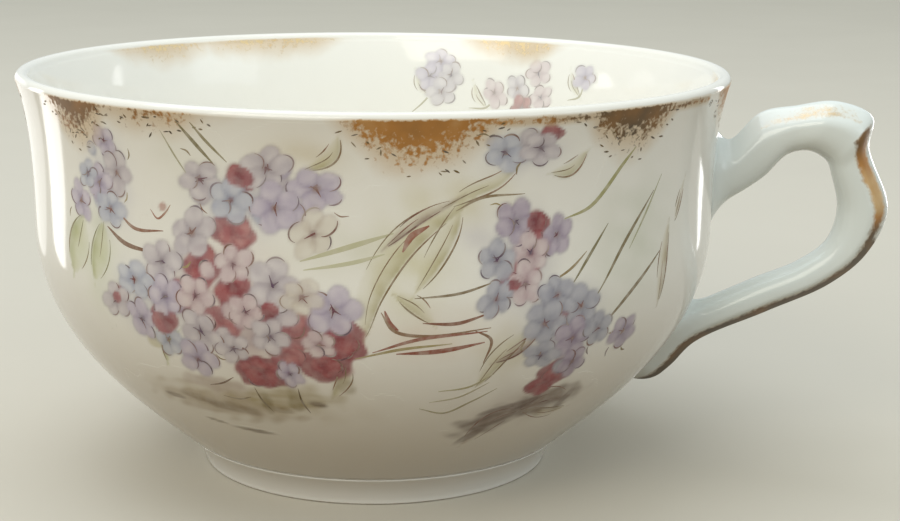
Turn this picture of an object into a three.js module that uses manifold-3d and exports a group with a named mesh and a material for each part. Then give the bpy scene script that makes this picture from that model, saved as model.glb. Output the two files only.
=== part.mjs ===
// A porcelain flat cup: a wide shallow bowl on a turned foot ring, with a bevelled loop handle that is
// luted to the wall by two pads of slip. Millimetres, +Z up, the handle along +X.
import * as THREE from 'three';
import { mergeVertices } from 'three/addons/utils/BufferGeometryUtils.js';
import Module from 'manifold-3d';

// Bowl
const RIM_RADIUS = 47.5;
const CUP_HEIGHT = 54;
const BELLY_RADIUS = 45.6;
const NECK_HEIGHT = 20; // from the fullest part of the belly up to the rim
const NECK_SWELL = 0.5; // how far the wall stands out past the belly before it turns out to the lip
const LIP_FLARE = 4.3; // height over which the lip turns outwards
const LIP_THICKNESS = 1.8;
const WALL_THICKNESS = 2.4;
const BASE_THICKNESS = 2.8;
const BASE_HOLLOW = 0.5; // rise of the underside from the foot ring to the middle
const WELL_RADIUS = 17; // flat floor of the inside
const FLARE_OUT = 10.4; // pull of the wall outwards as it leaves the foot ring
const FLARE_UP = 8.7; // pull of the wall upwards as it leaves the foot ring
const BELLY_ROUNDING = 13.2; // height over which the belly turns upright

// Foot ring
const FOOT_HEIGHT = 4.2;
const FOOT_TOP_RADIUS = 26.2;
const FOOT_TAPER = 2.4; // how far the outside draws in from the bowl down to the land
const FOOT_COVE_OUT = 0.6; // pull of the coved outside outwards as it leaves the land
const FOOT_COVE_UP = 1.9; // pull of the coved outside upwards as it leaves the land
const FOOT_WALL = 2.9; // across the land
const FOOT_LEAN = 0.6; // how far the inside draws in from the land up to the base
const FOOT_EDGE = 0.4;

// Handle
const HANDLE_REACH = 23.2; // from the wall to the outermost point of the loop
const HANDLE_DROP = 9.4; // from the rim down to the top of the upper root
const UPPER_ROOT_DEPTH = 8.8;
const LOWER_ROOT_HEIGHT = 22.4; // top of the lower root above the table
const SPUR_TIP_HEIGHT = 12.2;
const SPUR_ROOT_THICKNESS = 4.4; // where the loop runs into the spur
const SPUR_TIP_THICKNESS = 3;
const ROOT_WIDTH = 7;
const ARM_WIDTH = 6.4;
const THUMB_REST_WIDTH = 7.4;
const SPUR_WIDTH = 4.4;
const ROOT_SINK = 3; // length of the handle that runs into the wall before it is cut to fit

// Joints between the handle and the wall
const SLIP_THICKNESS = 0.5;
const SLIP_MARGIN = 0.5; // slip squeezed out round the handle's end
const JOINT_GAP = 0.3;

// Fineness
const ROUND_SEGMENTS = 60;
const WALL_STEPS = 9;
const LIP_STEPS = 6;
const FOOT_CURVE_STEPS = 4;
const HANDLE_STEPS = 44;
const ROOT_STEPS = 22;
const WELD_DISTANCE = 1e-4;

const wasm = await Module();
wasm.setup();

const bellyHeight = CUP_HEIGHT - NECK_HEIGHT;
const upperRootTop = CUP_HEIGHT - HANDLE_DROP;
const footBottomRadius = FOOT_TOP_RADIUS - FOOT_TAPER;
const footInnerBottom = footBottomRadius - FOOT_WALL;
const footInnerRadius = footInnerBottom - FOOT_LEAN;
const handleStandoff = 2 * JOINT_GAP + SLIP_THICKNESS;

// Outer wall from the foot ring to the lip: a round belly, an upright neck and a lip that turns out.
const lipRadius = LIP_THICKNESS / 2;
const wallCurves = [
  new THREE.CubicBezierCurve(
    new THREE.Vector2(FOOT_TOP_RADIUS, FOOT_HEIGHT),
    new THREE.Vector2(FOOT_TOP_RADIUS + FLARE_OUT, FOOT_HEIGHT + FLARE_UP),
    new THREE.Vector2(BELLY_RADIUS, bellyHeight - BELLY_ROUNDING),
    new THREE.Vector2(BELLY_RADIUS, bellyHeight),
  ),
  new THREE.CubicBezierCurve(
    new THREE.Vector2(BELLY_RADIUS, bellyHeight),
    new THREE.Vector2(BELLY_RADIUS, bellyHeight + NECK_HEIGHT / 2),
    new THREE.Vector2(BELLY_RADIUS + NECK_SWELL, CUP_HEIGHT - lipRadius - LIP_FLARE),
    new THREE.Vector2(RIM_RADIUS, CUP_HEIGHT - lipRadius),
  ),
];
const outerWall = [
  ...wallCurves[0].getPoints(WALL_STEPS),
  ...wallCurves[1].getPoints(WALL_STEPS).slice(1),
];

// The wall's outline moved out (or, with a minus sign, in) by a distance for each point.
function offsetWall(distanceAt) {
  return outerWall.map((point, i) => {
    const before = outerWall[Math.max(i - 1, 0)];
    const after = outerWall[Math.min(i + 1, outerWall.length - 1)];
    const along = after.clone().sub(before).normalize();
    const outwards = new THREE.Vector2(along.y, -along.x);
    return point.clone().addScaledVector(outwards, distanceAt(i / (outerWall.length - 1)));
  });
}

// Radius of the outer wall at a height, and the wall's outward direction there.
function wallAt(height) {
  const top = outerWall.findIndex((point) => point.y >= height);
  const upper = outerWall[Math.max(top, 1)];
  const lower = outerWall[Math.max(top, 1) - 1];
  const along = upper.clone().sub(lower);
  const point = lower.clone().addScaledVector(along, (height - lower.y) / along.y);
  return { point, outwards: new THREE.Vector2(along.y, -along.x).normalize() };
}

function revolve(profile) {
  const geometry = new THREE.LatheGeometry(profile, ROUND_SEGMENTS);
  geometry.rotateX(Math.PI / 2);
  return weld(geometry);
}

function weld(geometry) {
  geometry.deleteAttribute('normal');
  geometry.deleteAttribute('uv');
  return mergeVertices(geometry, WELD_DISTANCE);
}

function toSolid(geometry) {
  return new wasm.Manifold(new wasm.Mesh({
    numProp: 3,
    vertProperties: Float32Array.from(geometry.attributes.position.array),
    triVerts: Uint32Array.from(geometry.index.array),
  }));
}

function toGeometry(solid) {
  const mesh = solid.getMesh();
  const geometry = new THREE.BufferGeometry();
  geometry.setAttribute('position', new THREE.BufferAttribute(mesh.vertProperties, 3));
  geometry.setIndex(new THREE.BufferAttribute(mesh.triVerts, 1));
  return geometry;
}

// Shell of even thickness that thins towards a rounded lip, on a thicker base with a flat seat for the
// foot ring.
function bowlGeometry() {
  const inner = offsetWall((t) => -THREE.MathUtils.lerp(WALL_THICKNESS, LIP_THICKNESS, t));
  const lip = new THREE.EllipseCurve(
    RIM_RADIUS - lipRadius, CUP_HEIGHT - lipRadius, lipRadius, lipRadius, 0, Math.PI,
  ).getPoints(LIP_STEPS);
  const floorHeight = FOOT_HEIGHT + BASE_THICKNESS;
  const innerWall = inner.slice(0, -1)
    .filter((point) => point.x > WELL_RADIUS && point.y > floorHeight);
  return revolve([
    new THREE.Vector2(0, FOOT_HEIGHT + BASE_HOLLOW),
    new THREE.Vector2(footInnerRadius, FOOT_HEIGHT),
    ...outerWall.slice(0, -1),
    ...lip,
    ...innerWall.reverse(),
    new THREE.Vector2(WELL_RADIUS, floorHeight),
    new THREE.Vector2(0, floorHeight),
  ]);
}

// Ring whose flat top seats on the bowl's base and whose land, softened at its edges, stands on the
// table. Its outside is a shallow cove that spreads up to the bowl.
function footRingGeometry() {
  const outline = new THREE.Path();
  outline.moveTo(footInnerRadius, FOOT_HEIGHT);
  outline.lineTo(footInnerBottom, FOOT_EDGE);
  outline.quadraticCurveTo(footInnerBottom, 0, footInnerBottom + FOOT_EDGE, 0);
  outline.lineTo(footBottomRadius - FOOT_EDGE, 0);
  outline.quadraticCurveTo(footBottomRadius, 0, footBottomRadius, FOOT_EDGE);
  outline.quadraticCurveTo(
    footBottomRadius + FOOT_COVE_OUT, FOOT_EDGE + FOOT_COVE_UP, FOOT_TOP_RADIUS, FOOT_HEIGHT,
  );
  outline.lineTo(footInnerRadius, FOOT_HEIGHT);
  return revolve(outline.getPoints(FOOT_CURVE_STEPS));
}

// The whole volume inside the outer wall, grown outwards, for cutting what joins the wall.
function wallCore(growth) {
  const grown = offsetWall(() => growth);
  return toSolid(revolve([
    new THREE.Vector2(0, grown[0].y),
    ...grown,
    new THREE.Vector2(0, grown.at(-1).y),
  ]));
}

// Stations down the handle. The back is the outer edge of the loop and the belly the inner edge. Each is
// a pair: the share of the reach out from the wall, and the share of the way up between the two roots.
const rootSpacing = upperRootTop - LOWER_ROOT_HEIGHT;
const upperWall = wallAt(upperRootTop).point.x;
const bellyShare = 1 - UPPER_ROOT_DEPTH / rootSpacing;
const sinkShare = -ROOT_SINK / HANDLE_REACH;
const loopStations = [
  { back: [sinkShare, 0.99], belly: [sinkShare, bellyShare - 0.03], width: ROOT_WIDTH },
  { back: [0.07, 1.0], belly: [0.09, bellyShare + 0.05], width: ROOT_WIDTH },
  { back: [0.25, 1.18], belly: [0.28, 0.79], width: ARM_WIDTH },
  { back: [0.45, 1.225], belly: [0.41, 0.93], width: ARM_WIDTH },
  { back: [0.68, 1.255], belly: [0.53, 0.955], width: THUMB_REST_WIDTH },
  { back: [0.885, 1.165], belly: [0.635, 0.895], width: THUMB_REST_WIDTH },
  { back: [0.875, 0.98], belly: [0.668, 0.81], width: ARM_WIDTH },
  { back: [1.0, 0.61], belly: [0.711, 0.6], width: ARM_WIDTH },
  { back: [0.897, 0.333], belly: [0.655, 0.4], width: ARM_WIDTH },
  { back: [0.69, 0.135], belly: [0.5, 0.27], width: ARM_WIDTH },
  { back: [0.34, -0.045], belly: [0.22, 0.14], width: ARM_WIDTH },
].map(({ back, belly, width }) => ({ back: loopPoint(back), belly: loopPoint(belly), width }));

function loopPoint([outShare, upShare]) {
  return new THREE.Vector2(
    upperWall + outShare * HANDLE_REACH,
    LOWER_ROOT_HEIGHT + upShare * rootSpacing,
  );
}

// Below the loop the handle lies along the wall as a spur that narrows to a blunt tip.
const spurFall = LOWER_ROOT_HEIGHT - SPUR_TIP_HEIGHT;
const spurStations = [0.34, 0.67, 1].map((share) => {
  const { point, outwards } = wallAt(LOWER_ROOT_HEIGHT - share * spurFall);
  const thickness = THREE.MathUtils.lerp(SPUR_ROOT_THICKNESS, SPUR_TIP_THICKNESS, share);
  return {
    back: point.clone().addScaledVector(outwards, thickness),
    belly: point.clone().addScaledVector(outwards, -ROOT_SINK),
    width: THREE.MathUtils.lerp(ARM_WIDTH, SPUR_WIDTH, share),
  };
});
const handleStations = [...loopStations, ...spurStations];

// Half of the handle's section from its back ridge to its belly: the share of the depth, and of the half
// width. The back has a wide bevel on each side and the belly is rounded.
const halfSection = [[1, 0], [0.95, 0.4], [0.64, 1], [0.26, 0.92], [0.07, 0.6], [0, 0]];
const section = [
  ...halfSection,
  ...halfSection.slice(1, -1).reverse().map(([depth, side]) => [depth, -side]),
];

// Loft through a run of stations, with the section grown by a margin all round.
function handleLoft(stations, steps, margin) {
  const flat = (point) => new THREE.Vector3(point.x, 0, point.y);
  const back = new THREE.CatmullRomCurve3(stations.map((station) => flat(station.back)));
  const belly = new THREE.CatmullRomCurve3(stations.map((station) => flat(station.belly)));
  const width = new THREE.CatmullRomCurve3(stations.map((station) => new THREE.Vector3(station.width)));
  const vertices = [];
  const triangles = [];
  const count = section.length;
  for (let i = 0; i <= steps; i += 1) {
    const from = belly.getPoint(i / steps);
    const to = back.getPoint(i / steps);
    const outwards = to.clone().sub(from).normalize();
    from.addScaledVector(outwards, -margin);
    to.addScaledVector(outwards, margin);
    const halfWidth = width.getPoint(i / steps).x / 2 + margin;
    for (const [depth, side] of section) {
      const point = from.clone().lerp(to, depth);
      vertices.push(point.x, side * halfWidth, point.z);
    }
  }
  for (let ring = 0; ring < steps; ring += 1) {
    for (let k = 0; k < count; k += 1) {
      const here = ring * count + k;
      const next = ring * count + ((k + 1) % count);
      triangles.push(here, next + count, next, here, here + count, next + count);
    }
  }
  const lastRing = steps * count;
  for (let k = 1; k < count - 1; k += 1) {
    triangles.push(0, k, k + 1);
    triangles.push(lastRing, lastRing + k + 1, lastRing + k);
  }
  const geometry = new THREE.BufferGeometry();
  geometry.setAttribute('position', new THREE.Float32BufferAttribute(vertices, 3));
  geometry.setIndex(triangles);
  return toSolid(geometry);
}

function handleGeometry() {
  return toGeometry(handleLoft(handleStations, HANDLE_STEPS, 0).subtract(wallCore(handleStandoff)));
}

// Slip between the wall and one end of the handle, as wide as that end and its squeezed-out margin.
function slipGeometry(stations) {
  const end = handleLoft(stations, ROOT_STEPS, SLIP_MARGIN);
  const outer = wallCore(JOINT_GAP + SLIP_THICKNESS);
  return toGeometry(end.intersect(outer).subtract(wallCore(JOINT_GAP)));
}

function porcelain(color, roughness) {
  return new THREE.MeshStandardMaterial({ color, roughness, metalness: 0 });
}

function named(name, geometry, material) {
  const mesh = new THREE.Mesh(geometry, material);
  mesh.name = name;
  return mesh;
}

const upperEnd = handleStations.slice(0, 3);
const lowerEnd = handleStations.slice(-4);
const cup = new THREE.Group();
cup.add(
  named('bowl', bowlGeometry(), porcelain('#f1eee6', 0.12)),
  named('foot_ring', footRingGeometry(), porcelain('#f4f1ea', 0.15)),
  named('handle', handleGeometry(), porcelain('#e9ece6', 0.12)),
  named('upper_slip_joint', slipGeometry(upperEnd), porcelain('#efece4', 0.3)),
  named('lower_slip_joint', slipGeometry(lowerEnd), porcelain('#efece4', 0.3)),
);

// The cup stands on its foot with the middle of its outline over the origin.
const outlineBox = new THREE.Box3().setFromObject(cup);
const middle = outlineBox.getCenter(new THREE.Vector3());
cup.position.set(-middle.x, -middle.y, -outlineBox.min.z);

export default cup;
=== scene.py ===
"""Looks of the flat cup: glazed porcelain with sponged gilding and overglaze sprays of small flowers."""

import math
import random

import bpy
import numpy as np
from mathutils import Matrix, Vector


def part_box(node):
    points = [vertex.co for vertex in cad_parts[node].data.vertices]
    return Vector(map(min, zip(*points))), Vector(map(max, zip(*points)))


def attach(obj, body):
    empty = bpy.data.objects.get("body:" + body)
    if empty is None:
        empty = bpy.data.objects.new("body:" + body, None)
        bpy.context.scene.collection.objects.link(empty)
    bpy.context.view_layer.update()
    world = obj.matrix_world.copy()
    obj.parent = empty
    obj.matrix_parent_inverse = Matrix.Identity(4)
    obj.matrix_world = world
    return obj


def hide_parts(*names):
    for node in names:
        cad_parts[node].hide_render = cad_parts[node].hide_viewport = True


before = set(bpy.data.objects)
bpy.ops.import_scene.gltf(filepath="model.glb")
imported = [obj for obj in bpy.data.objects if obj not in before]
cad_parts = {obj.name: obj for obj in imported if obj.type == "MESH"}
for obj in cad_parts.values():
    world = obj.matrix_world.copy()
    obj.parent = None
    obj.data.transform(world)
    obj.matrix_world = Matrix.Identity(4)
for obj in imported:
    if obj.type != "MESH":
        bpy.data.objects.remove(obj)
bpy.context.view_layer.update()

# Sizes in millimetres, taken from the frame where it holds them
MM = 0.001
bowl_low, bowl_high = (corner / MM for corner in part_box("bowl"))
foot_high, handle_high = (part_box(node)[1] / MM for node in ("foot_ring", "handle"))
AXIS_X = (bowl_low.x + bowl_high.x) / 2
RIM_RADIUS = bowl_high.y
CUP_HEIGHT = bowl_high.z
FOOT_HEIGHT = bowl_low.z
FOOT_TOP_RADIUS = foot_high.y
HANDLE_OUT = handle_high.x - AXIS_X

# Bowl sizes that the frame's boxes don't show
BELLY_RADIUS = 45.6
NECK_HEIGHT = 20
NECK_SWELL = 0.5
LIP_FLARE = 4.3
LIP_THICKNESS = 1.8
WALL_THICKNESS = 2.4
BASE_THICKNESS = 2.8
BASE_HOLLOW = 0.5
WELL_RADIUS = 17
FLARE_OUT = 10.4
FLARE_UP = 8.7
BELLY_ROUNDING = 13.2
WELL_SWEEP = 13  # out from the flat of the well to where the wall proper starts
WELL_PULL = 5
SWEEP_PULL_IN = 3
SWEEP_PULL_DOWN = 2.5
LIP_GAP = 0.2

# Steps of the turned outlines
BELLY_STEPS = 44
NECK_STEPS = 48
NECK_CROWDING = 1.35
WELL_STEPS = 14
LIP_STEPS = 10
HOLLOW_STEPS = 6
FLOOR_STEPS = 5
EDGE_STEPS = 5
COVE_STEPS = 10
BOWL_SEGMENTS = 300
FOOT_SEGMENTS = 200
FINE_WALL = 4  # the print follows a finer line of the wall than the bowl's own faces need

# Foot ring sizes
FOOT_TAPER = 2.4
FOOT_COVE_OUT = 0.6
FOOT_COVE_UP = 1.9
FOOT_WALL = 2.9
FOOT_LEAN = 0.6
FOOT_EDGE = 0.4

# Handle sizes
HANDLE_DROP = 9.4
UPPER_ROOT_DEPTH = 8.8
LOWER_ROOT_HEIGHT = 22.4
SPUR_TIP_HEIGHT = 12.2
SPUR_ROOT_THICKNESS = 4.4
SPUR_TIP_THICKNESS = 3
ROOT_WIDTH = 7
ARM_WIDTH = 6.4
THUMB_REST_WIDTH = 7.4
SPUR_WIDTH = 4.4
ROOT_SINK = 1.2
FILLET_SPREAD = 1.9
FILLET_HEIGHT = 3.0
FILLET_CURVE = 2.5
FILLET_TOP_GAP = 1  # the fillets follow the wall up to this far below the lip
TIP_START = 0.95  # share of the handle's length at which the spur's tip starts to round off
TIP_ROUNDING = 0.8
TIP_LEFT = 0.25
HANDLE_RINGS = 230
CORNER_STEPS = 6

# Camera, from the photograph's perspective
FOCAL_PIXELS = 1799
IMAGE_WIDTH = 900
SENSOR_WIDTH = 36
CAMERA_DISTANCE = 242.9
CAMERA_HEIGHT = 81.0
CAMERA_AZIMUTH = 7.0
CAMERA_YAW = 2.42
CAMERA_PITCH = -12.54
CAMERA_ROLL = 0.52

FRONT_ANGLE = CAMERA_AZIMUTH - 90


def linear(hex_code):
    """An sRGB hex colour as linear red, green, blue and full alpha."""
    channels = (int(hex_code[i:i + 2], 16) / 255 for i in (1, 3, 5))
    return (*(c / 12.92 if c <= 0.04045 else ((c + 0.055) / 1.055) ** 2.4 for c in channels), 1.0)


def smooth_step(low, high, value):
    share = np.clip((value - low) / (high - low), 0.0, 1.0)
    return share * share * (3 - 2 * share)


def add_node(tree, kind, inputs=None, **settings):
    """Adds one shader node; an input given as a socket is linked, and any other is set."""
    node = tree.nodes.new("ShaderNode" + kind)
    for name, value in settings.items():
        setattr(node, name, value)
    for name, value in (inputs or {}).items():
        if isinstance(value, bpy.types.NodeSocket):
            tree.links.new(value, node.inputs[name])
        else:
            node.inputs[name].default_value = value
    return node


def new_material(name):
    material = bpy.data.materials.new(name)
    material.use_nodes = True
    tree = material.node_tree
    return material, tree, tree.nodes["Principled BSDF"]


# Curves


def bezier(a, b, c, d, steps, crowding=1.0):
    """Points along a cubic curve with ends a and d, closer together towards d as the crowding grows."""
    points = []
    for i in range(steps + 1):
        t = 1 - (1 - i / steps) ** crowding
        weights = ((1 - t) ** 3, 3 * t * (1 - t) ** 2, 3 * t * t * (1 - t), t ** 3)
        points.append(tuple(sum(w * p[k] for w, p in zip(weights, (a, b, c, d))) for k in (0, 1)))
    return points


def rounded_corner(start, corner, end, steps):
    """Points of a curve that leaves the start towards a corner and turns to reach the end."""
    start, corner, end = Vector(start), Vector(corner), Vector(end)
    shares = (k / steps for k in range(steps + 1))
    return [start * (1 - t) ** 2 + corner * 2 * t * (1 - t) + end * t * t for t in shares]


def spline(points, share):
    """A point on a centripetal Catmull-Rom curve through the points, at a share of their count."""
    place = min(max(share, 0.0), 1.0) * (len(points) - 1)
    i = min(int(place), len(points) - 2)
    t = place - i
    p1, p2 = Vector(points[i]), Vector(points[i + 1])
    p0 = Vector(points[i - 1]) if i else p1 * 2 - p2
    p3 = Vector(points[i + 2]) if i + 2 < len(points) else p2 * 2 - p1
    d0, d1, d2 = (max((b - a).length, 1e-9) ** 0.5 for a, b in ((p0, p1), (p1, p2), (p2, p3)))
    m1 = ((p1 - p0) / d0 - (p2 - p0) / (d0 + d1) + (p2 - p1) / d1) * d1
    m2 = ((p2 - p1) / d1 - (p3 - p1) / (d1 + d2) + (p3 - p2) / d2) * d1
    return p1 + m1 * t + (p1 * -3 + p2 * 3 - m1 * 2 - m2) * t * t + (p1 * 2 - p2 * 2 + m1 + m2) * t ** 3


class Wall:
    """One side of the bowl's wall as a line from the base to the lip, measured along its length. It faces
    outwards by 1 or by -1, and the viewer's right turns round the axis in the same sense."""

    def __init__(self, line, outwards):
        self.outwards = outwards
        self.radii, self.heights = np.array(line).T
        steps = np.hypot(np.diff(self.radii), np.diff(self.heights))
        self.lengths = np.concatenate(([0.0], np.cumsum(steps)))
        self.radial = np.gradient(self.radii, self.lengths)
        self.rise = np.gradient(self.heights, self.lengths)

    def length_at(self, height):
        return np.interp(height, self.heights, self.lengths)

    def at(self, length):
        """Radius, height and the two parts of the surface direction at lengths up the wall."""
        radius, height, radial, rise = (
            np.interp(length, self.lengths, values)
            for values in (self.radii, self.heights, self.radial, self.rise))
        return radius, height, self.outwards * rise, -self.outwards * radial

    def radius_at(self, height):
        return np.interp(height, self.heights, self.radii)


def wall_lines(fineness):
    """The outer wall from the foot ring to the lip, and the inner wall a thickness inside it."""
    belly_height = CUP_HEIGHT - NECK_HEIGHT
    lip_height = CUP_HEIGHT - LIP_THICKNESS / 2
    belly = bezier(
        (FOOT_TOP_RADIUS, FOOT_HEIGHT),
        (FOOT_TOP_RADIUS + FLARE_OUT, FOOT_HEIGHT + FLARE_UP),
        (BELLY_RADIUS, belly_height - BELLY_ROUNDING),
        (BELLY_RADIUS, belly_height), BELLY_STEPS * fineness)
    neck = bezier(
        (BELLY_RADIUS, belly_height),
        (BELLY_RADIUS, belly_height + NECK_HEIGHT / 2),
        (BELLY_RADIUS + NECK_SWELL, lip_height - LIP_FLARE),
        (RIM_RADIUS, lip_height), NECK_STEPS * fineness, NECK_CROWDING)
    outer = belly + neck[1:]
    inner = []
    for i, (radius, height) in enumerate(outer):
        (r0, z0), (r1, z1) = outer[max(i - 1, 0)], outer[min(i + 1, len(outer) - 1)]
        span = math.hypot(r1 - r0, z1 - z0)
        depth = WALL_THICKNESS + (LIP_THICKNESS - WALL_THICKNESS) * i / (len(outer) - 1)
        inner.append((radius - depth * (z1 - z0) / span, height + depth * (r1 - r0) / span))
    floor_height = FOOT_HEIGHT + BASE_THICKNESS
    nearest, highest = WELL_RADIUS + WELL_SWEEP, lip_height - LIP_GAP
    inner = [(radius, height) for radius, height in inner if radius > nearest and height < highest]
    sweep_radius, sweep_height = inner[0]
    well = bezier(
        (WELL_RADIUS, floor_height),
        (WELL_RADIUS + WELL_PULL, floor_height),
        (sweep_radius - SWEEP_PULL_IN, sweep_height - SWEEP_PULL_DOWN),
        (sweep_radius, sweep_height), WELL_STEPS * fineness)
    return outer, well[:-1] + inner


outside, inside = (Wall(line, side) for line, side in zip(wall_lines(FINE_WALL), (1, -1)))


# Modelling helpers

SEAM_GAP = 0.001  # points closer than this are one
COAT_EDGE = 30  # degrees past which a coat's rim stays sharp


def deselect_all():
    if bpy.context.object and bpy.context.object.mode != "OBJECT":
        bpy.ops.object.mode_set(mode="OBJECT")
    bpy.ops.object.select_all(action="DESELECT")


def make_active(piece):
    deselect_all()
    piece.select_set(True)
    bpy.context.view_layer.objects.active = piece


def turn_on_wheel(name, outline, segments):
    """A piece of revolution: an outline drawn point by point by extruding, then spun round the axis."""
    deselect_all()
    bpy.ops.mesh.primitive_plane_add(size=MM)
    piece = bpy.context.object
    piece.name = piece.data.name = name
    bpy.ops.object.mode_set(mode="EDIT")
    bpy.ops.mesh.select_all(action="SELECT")
    bpy.ops.mesh.merge(type="CENTER")
    places = [Vector((AXIS_X + radius, 0, height)) * MM for radius, height in outline]
    bpy.ops.transform.translate(value=places[0])
    for here, there in zip(places, places[1:]):
        bpy.ops.mesh.extrude_vertices_move(TRANSFORM_OT_translate={"value": there - here})
    bpy.ops.mesh.select_all(action="SELECT")
    bpy.ops.mesh.spin(steps=segments, angle=math.tau, center=(AXIS_X * MM, 0, 0), axis=(0, 0, 1))
    bpy.ops.mesh.select_all(action="SELECT")
    bpy.ops.mesh.remove_doubles(threshold=SEAM_GAP * MM)
    bpy.ops.mesh.normals_make_consistent(inside=False)
    bpy.ops.object.mode_set(mode="OBJECT")
    bpy.ops.object.shade_smooth()
    return piece


def mesh_piece(name, points, faces):
    mesh = bpy.data.meshes.new(name)
    mesh.from_pydata(points, [], faces)
    mesh.update()
    piece = bpy.data.objects.new(name, mesh)
    bpy.context.scene.collection.objects.link(piece)
    return piece


def thicken(piece, thickness):
    """Gives a thin coat its body, sunk into the glaze, with its flat rims kept sharp."""
    make_active(piece)
    solid = piece.modifiers.new("thickness", "SOLIDIFY")
    solid.thickness = thickness * MM
    solid.offset = -1
    bpy.ops.object.modifier_apply(modifier=solid.name)
    bpy.ops.object.shade_smooth_by_angle(angle=math.radians(COAT_EDGE))


def store(piece, name, kind, values):
    """Keeps one value or colour for each point of a piece, for its material to read."""
    attribute = piece.data.attributes.new(name, kind, "POINT")
    attribute.data.foreach_set("color" if kind == "FLOAT_COLOR" else "value", np.ravel(values))


def dress(piece, slot, material, *nodes):
    """Gives a finished piece its material and its body, and hides the CAD nodes that it stands for."""
    piece.data.materials.clear()
    piece.data.materials.append(material)
    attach(piece, "root")
    if nodes:
        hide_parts(*nodes)


# Gilding: how far a place lies inside the sponged gold, in millimetres

RIM_GOLD_OUTSIDE = [  # angle round the rim and half width in degrees, depth, tone from dark to pale, which is partly the gold's own unevenness and partly painted shade and painted highlight
    (-77, 11.5, 5.6, 0.5), (-43, 9.5, 5.2, 0.1), (-132, 8, 4.6, 0.12), (-117, 10, 1.8, 0.35),
    (-8, 12, 4.6, 0.4), (25, 9, 2.8, 0.5), (58, 12, 5.6, 0.5), (96, 10, 3.8, 0.4),
    (128, 12, 5.2, 0.45), (163, 9, 3.0, 0.4), (-166, 11, 5.0, 0.35),
]
# inside, the gold's pale tones are partly a painted highlight
RIM_GOLD_INSIDE = [
    (142, 10, 1.6, 0.95), (119, 13, 1.8, 0.95), (68, 9, 2.2, 1.0), (-10, 12, 2.0, 0.8), (-52, 11, 1.8, 0.8),
    (-95, 12, 2.0, 0.8), (-135, 10, 1.8, 0.8),
]
RIM_LINE = [(-46, 24), (60, 40), (160, 30)]  # middle and half length in degrees of the drawn lines
RIM_WEAR = 0.8  # the lip is rubbed bare this far down
WEAR_FIRMNESS = 14
LINE_DROP = 1.35
LINE_WIDTH = 0.6
LINE_FIRMNESS = 5
NO_GOLD = -9.0
DRAW_IN = 1.6  # the middle of the wall draws in by this much under the rim
DRAW_IN_DEPTH = 8


def angle_gap(first, second):
    return np.abs((first - second + 180) % 360 - 180)


def rim_gilding(angle, drop, is_outside):
    """Depth inside the nearest sponged patch or drawn line, less where the lip is rubbed bare, and the
    gold's tone there, partly its own and partly painted shade and painted highlight, which passes smoothly
    from patch to patch."""
    deepest = np.full_like(drop, NO_GOLD)
    toned, total = np.full_like(drop, 1e-9), np.full_like(drop, 1e-9)
    for patches, here in ((RIM_GOLD_OUTSIDE, is_outside), (RIM_GOLD_INSIDE, ~is_outside)):
        for centre, half_width, depth, tone in patches:
            share = angle_gap(angle, centre) / half_width
            weight = here * np.exp(-share * share)
            toned += weight * tone
            total += weight
            deepest = np.where(here, np.maximum(deepest, depth * (1 - share * share) - drop), deepest)
    line = LINE_FIRMNESS * (LINE_WIDTH / 2 - np.abs(drop - LINE_DROP))
    for centre, half_length in RIM_LINE:
        here = is_outside & (angle_gap(angle, centre) < half_length)
        deepest = np.where(here, np.maximum(deepest, line), deepest)
    return np.minimum(deepest, (drop - RIM_WEAR) * WEAR_FIRMNESS), toned / total


def gild_rim(piece):
    """Stores how deep each point of a piece on the wall lies inside the rim's gold, and the gold's tone
    there, which is partly painted shade and painted highlight.
    """
    places = np.empty(3 * len(piece.data.vertices))
    piece.data.vertices.foreach_get("co", places)
    x, y, height = (places.reshape(-1, 3) / MM - (AXIS_X, 0, 0)).T
    drop = CUP_HEIGHT - height
    middle = RIM_RADIUS - LIP_THICKNESS / 2 - smooth_step(0, DRAW_IN_DEPTH, drop) * DRAW_IN
    is_outside = (np.hypot(x, y) > middle) | (height < FOOT_HEIGHT + BASE_THICKNESS)
    gilding, tones = rim_gilding(np.degrees(np.arctan2(y, x)), drop, is_outside)
    store(piece, "gilding", "FLOAT", gilding)
    store(piece, "gilt_tone_and_painted_light", "FLOAT", tones)


# Bowl and foot ring


def make_bowl():
    """The thrown shell: hollow underside, outer wall, round lip, inner wall and well."""
    lip_radius = LIP_THICKNESS / 2
    lip_height = CUP_HEIGHT - lip_radius
    lip = [(RIM_RADIUS - lip_radius + lip_radius * math.cos(turn), lip_height + lip_radius * math.sin(turn))
           for turn in (math.pi * k / LIP_STEPS for k in range(1, LIP_STEPS + 1))]
    foot_inner = FOOT_TOP_RADIUS - FOOT_TAPER - FOOT_WALL - FOOT_LEAN
    shares = [k / HOLLOW_STEPS for k in range(HOLLOW_STEPS + 1)]
    hollow = [(foot_inner * share, FOOT_HEIGHT + BASE_HOLLOW * (1 - share ** 2)) for share in shares]
    floor_height = FOOT_HEIGHT + BASE_THICKNESS
    floor = [(WELL_RADIUS * k / FLOOR_STEPS, floor_height) for k in reversed(range(FLOOR_STEPS))]
    outer, inner = wall_lines(1)
    bowl = turn_on_wheel("bowl_shell", hollow + outer + lip + inner[::-1] + floor, BOWL_SEGMENTS)
    gild_rim(bowl)
    return bowl


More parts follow.
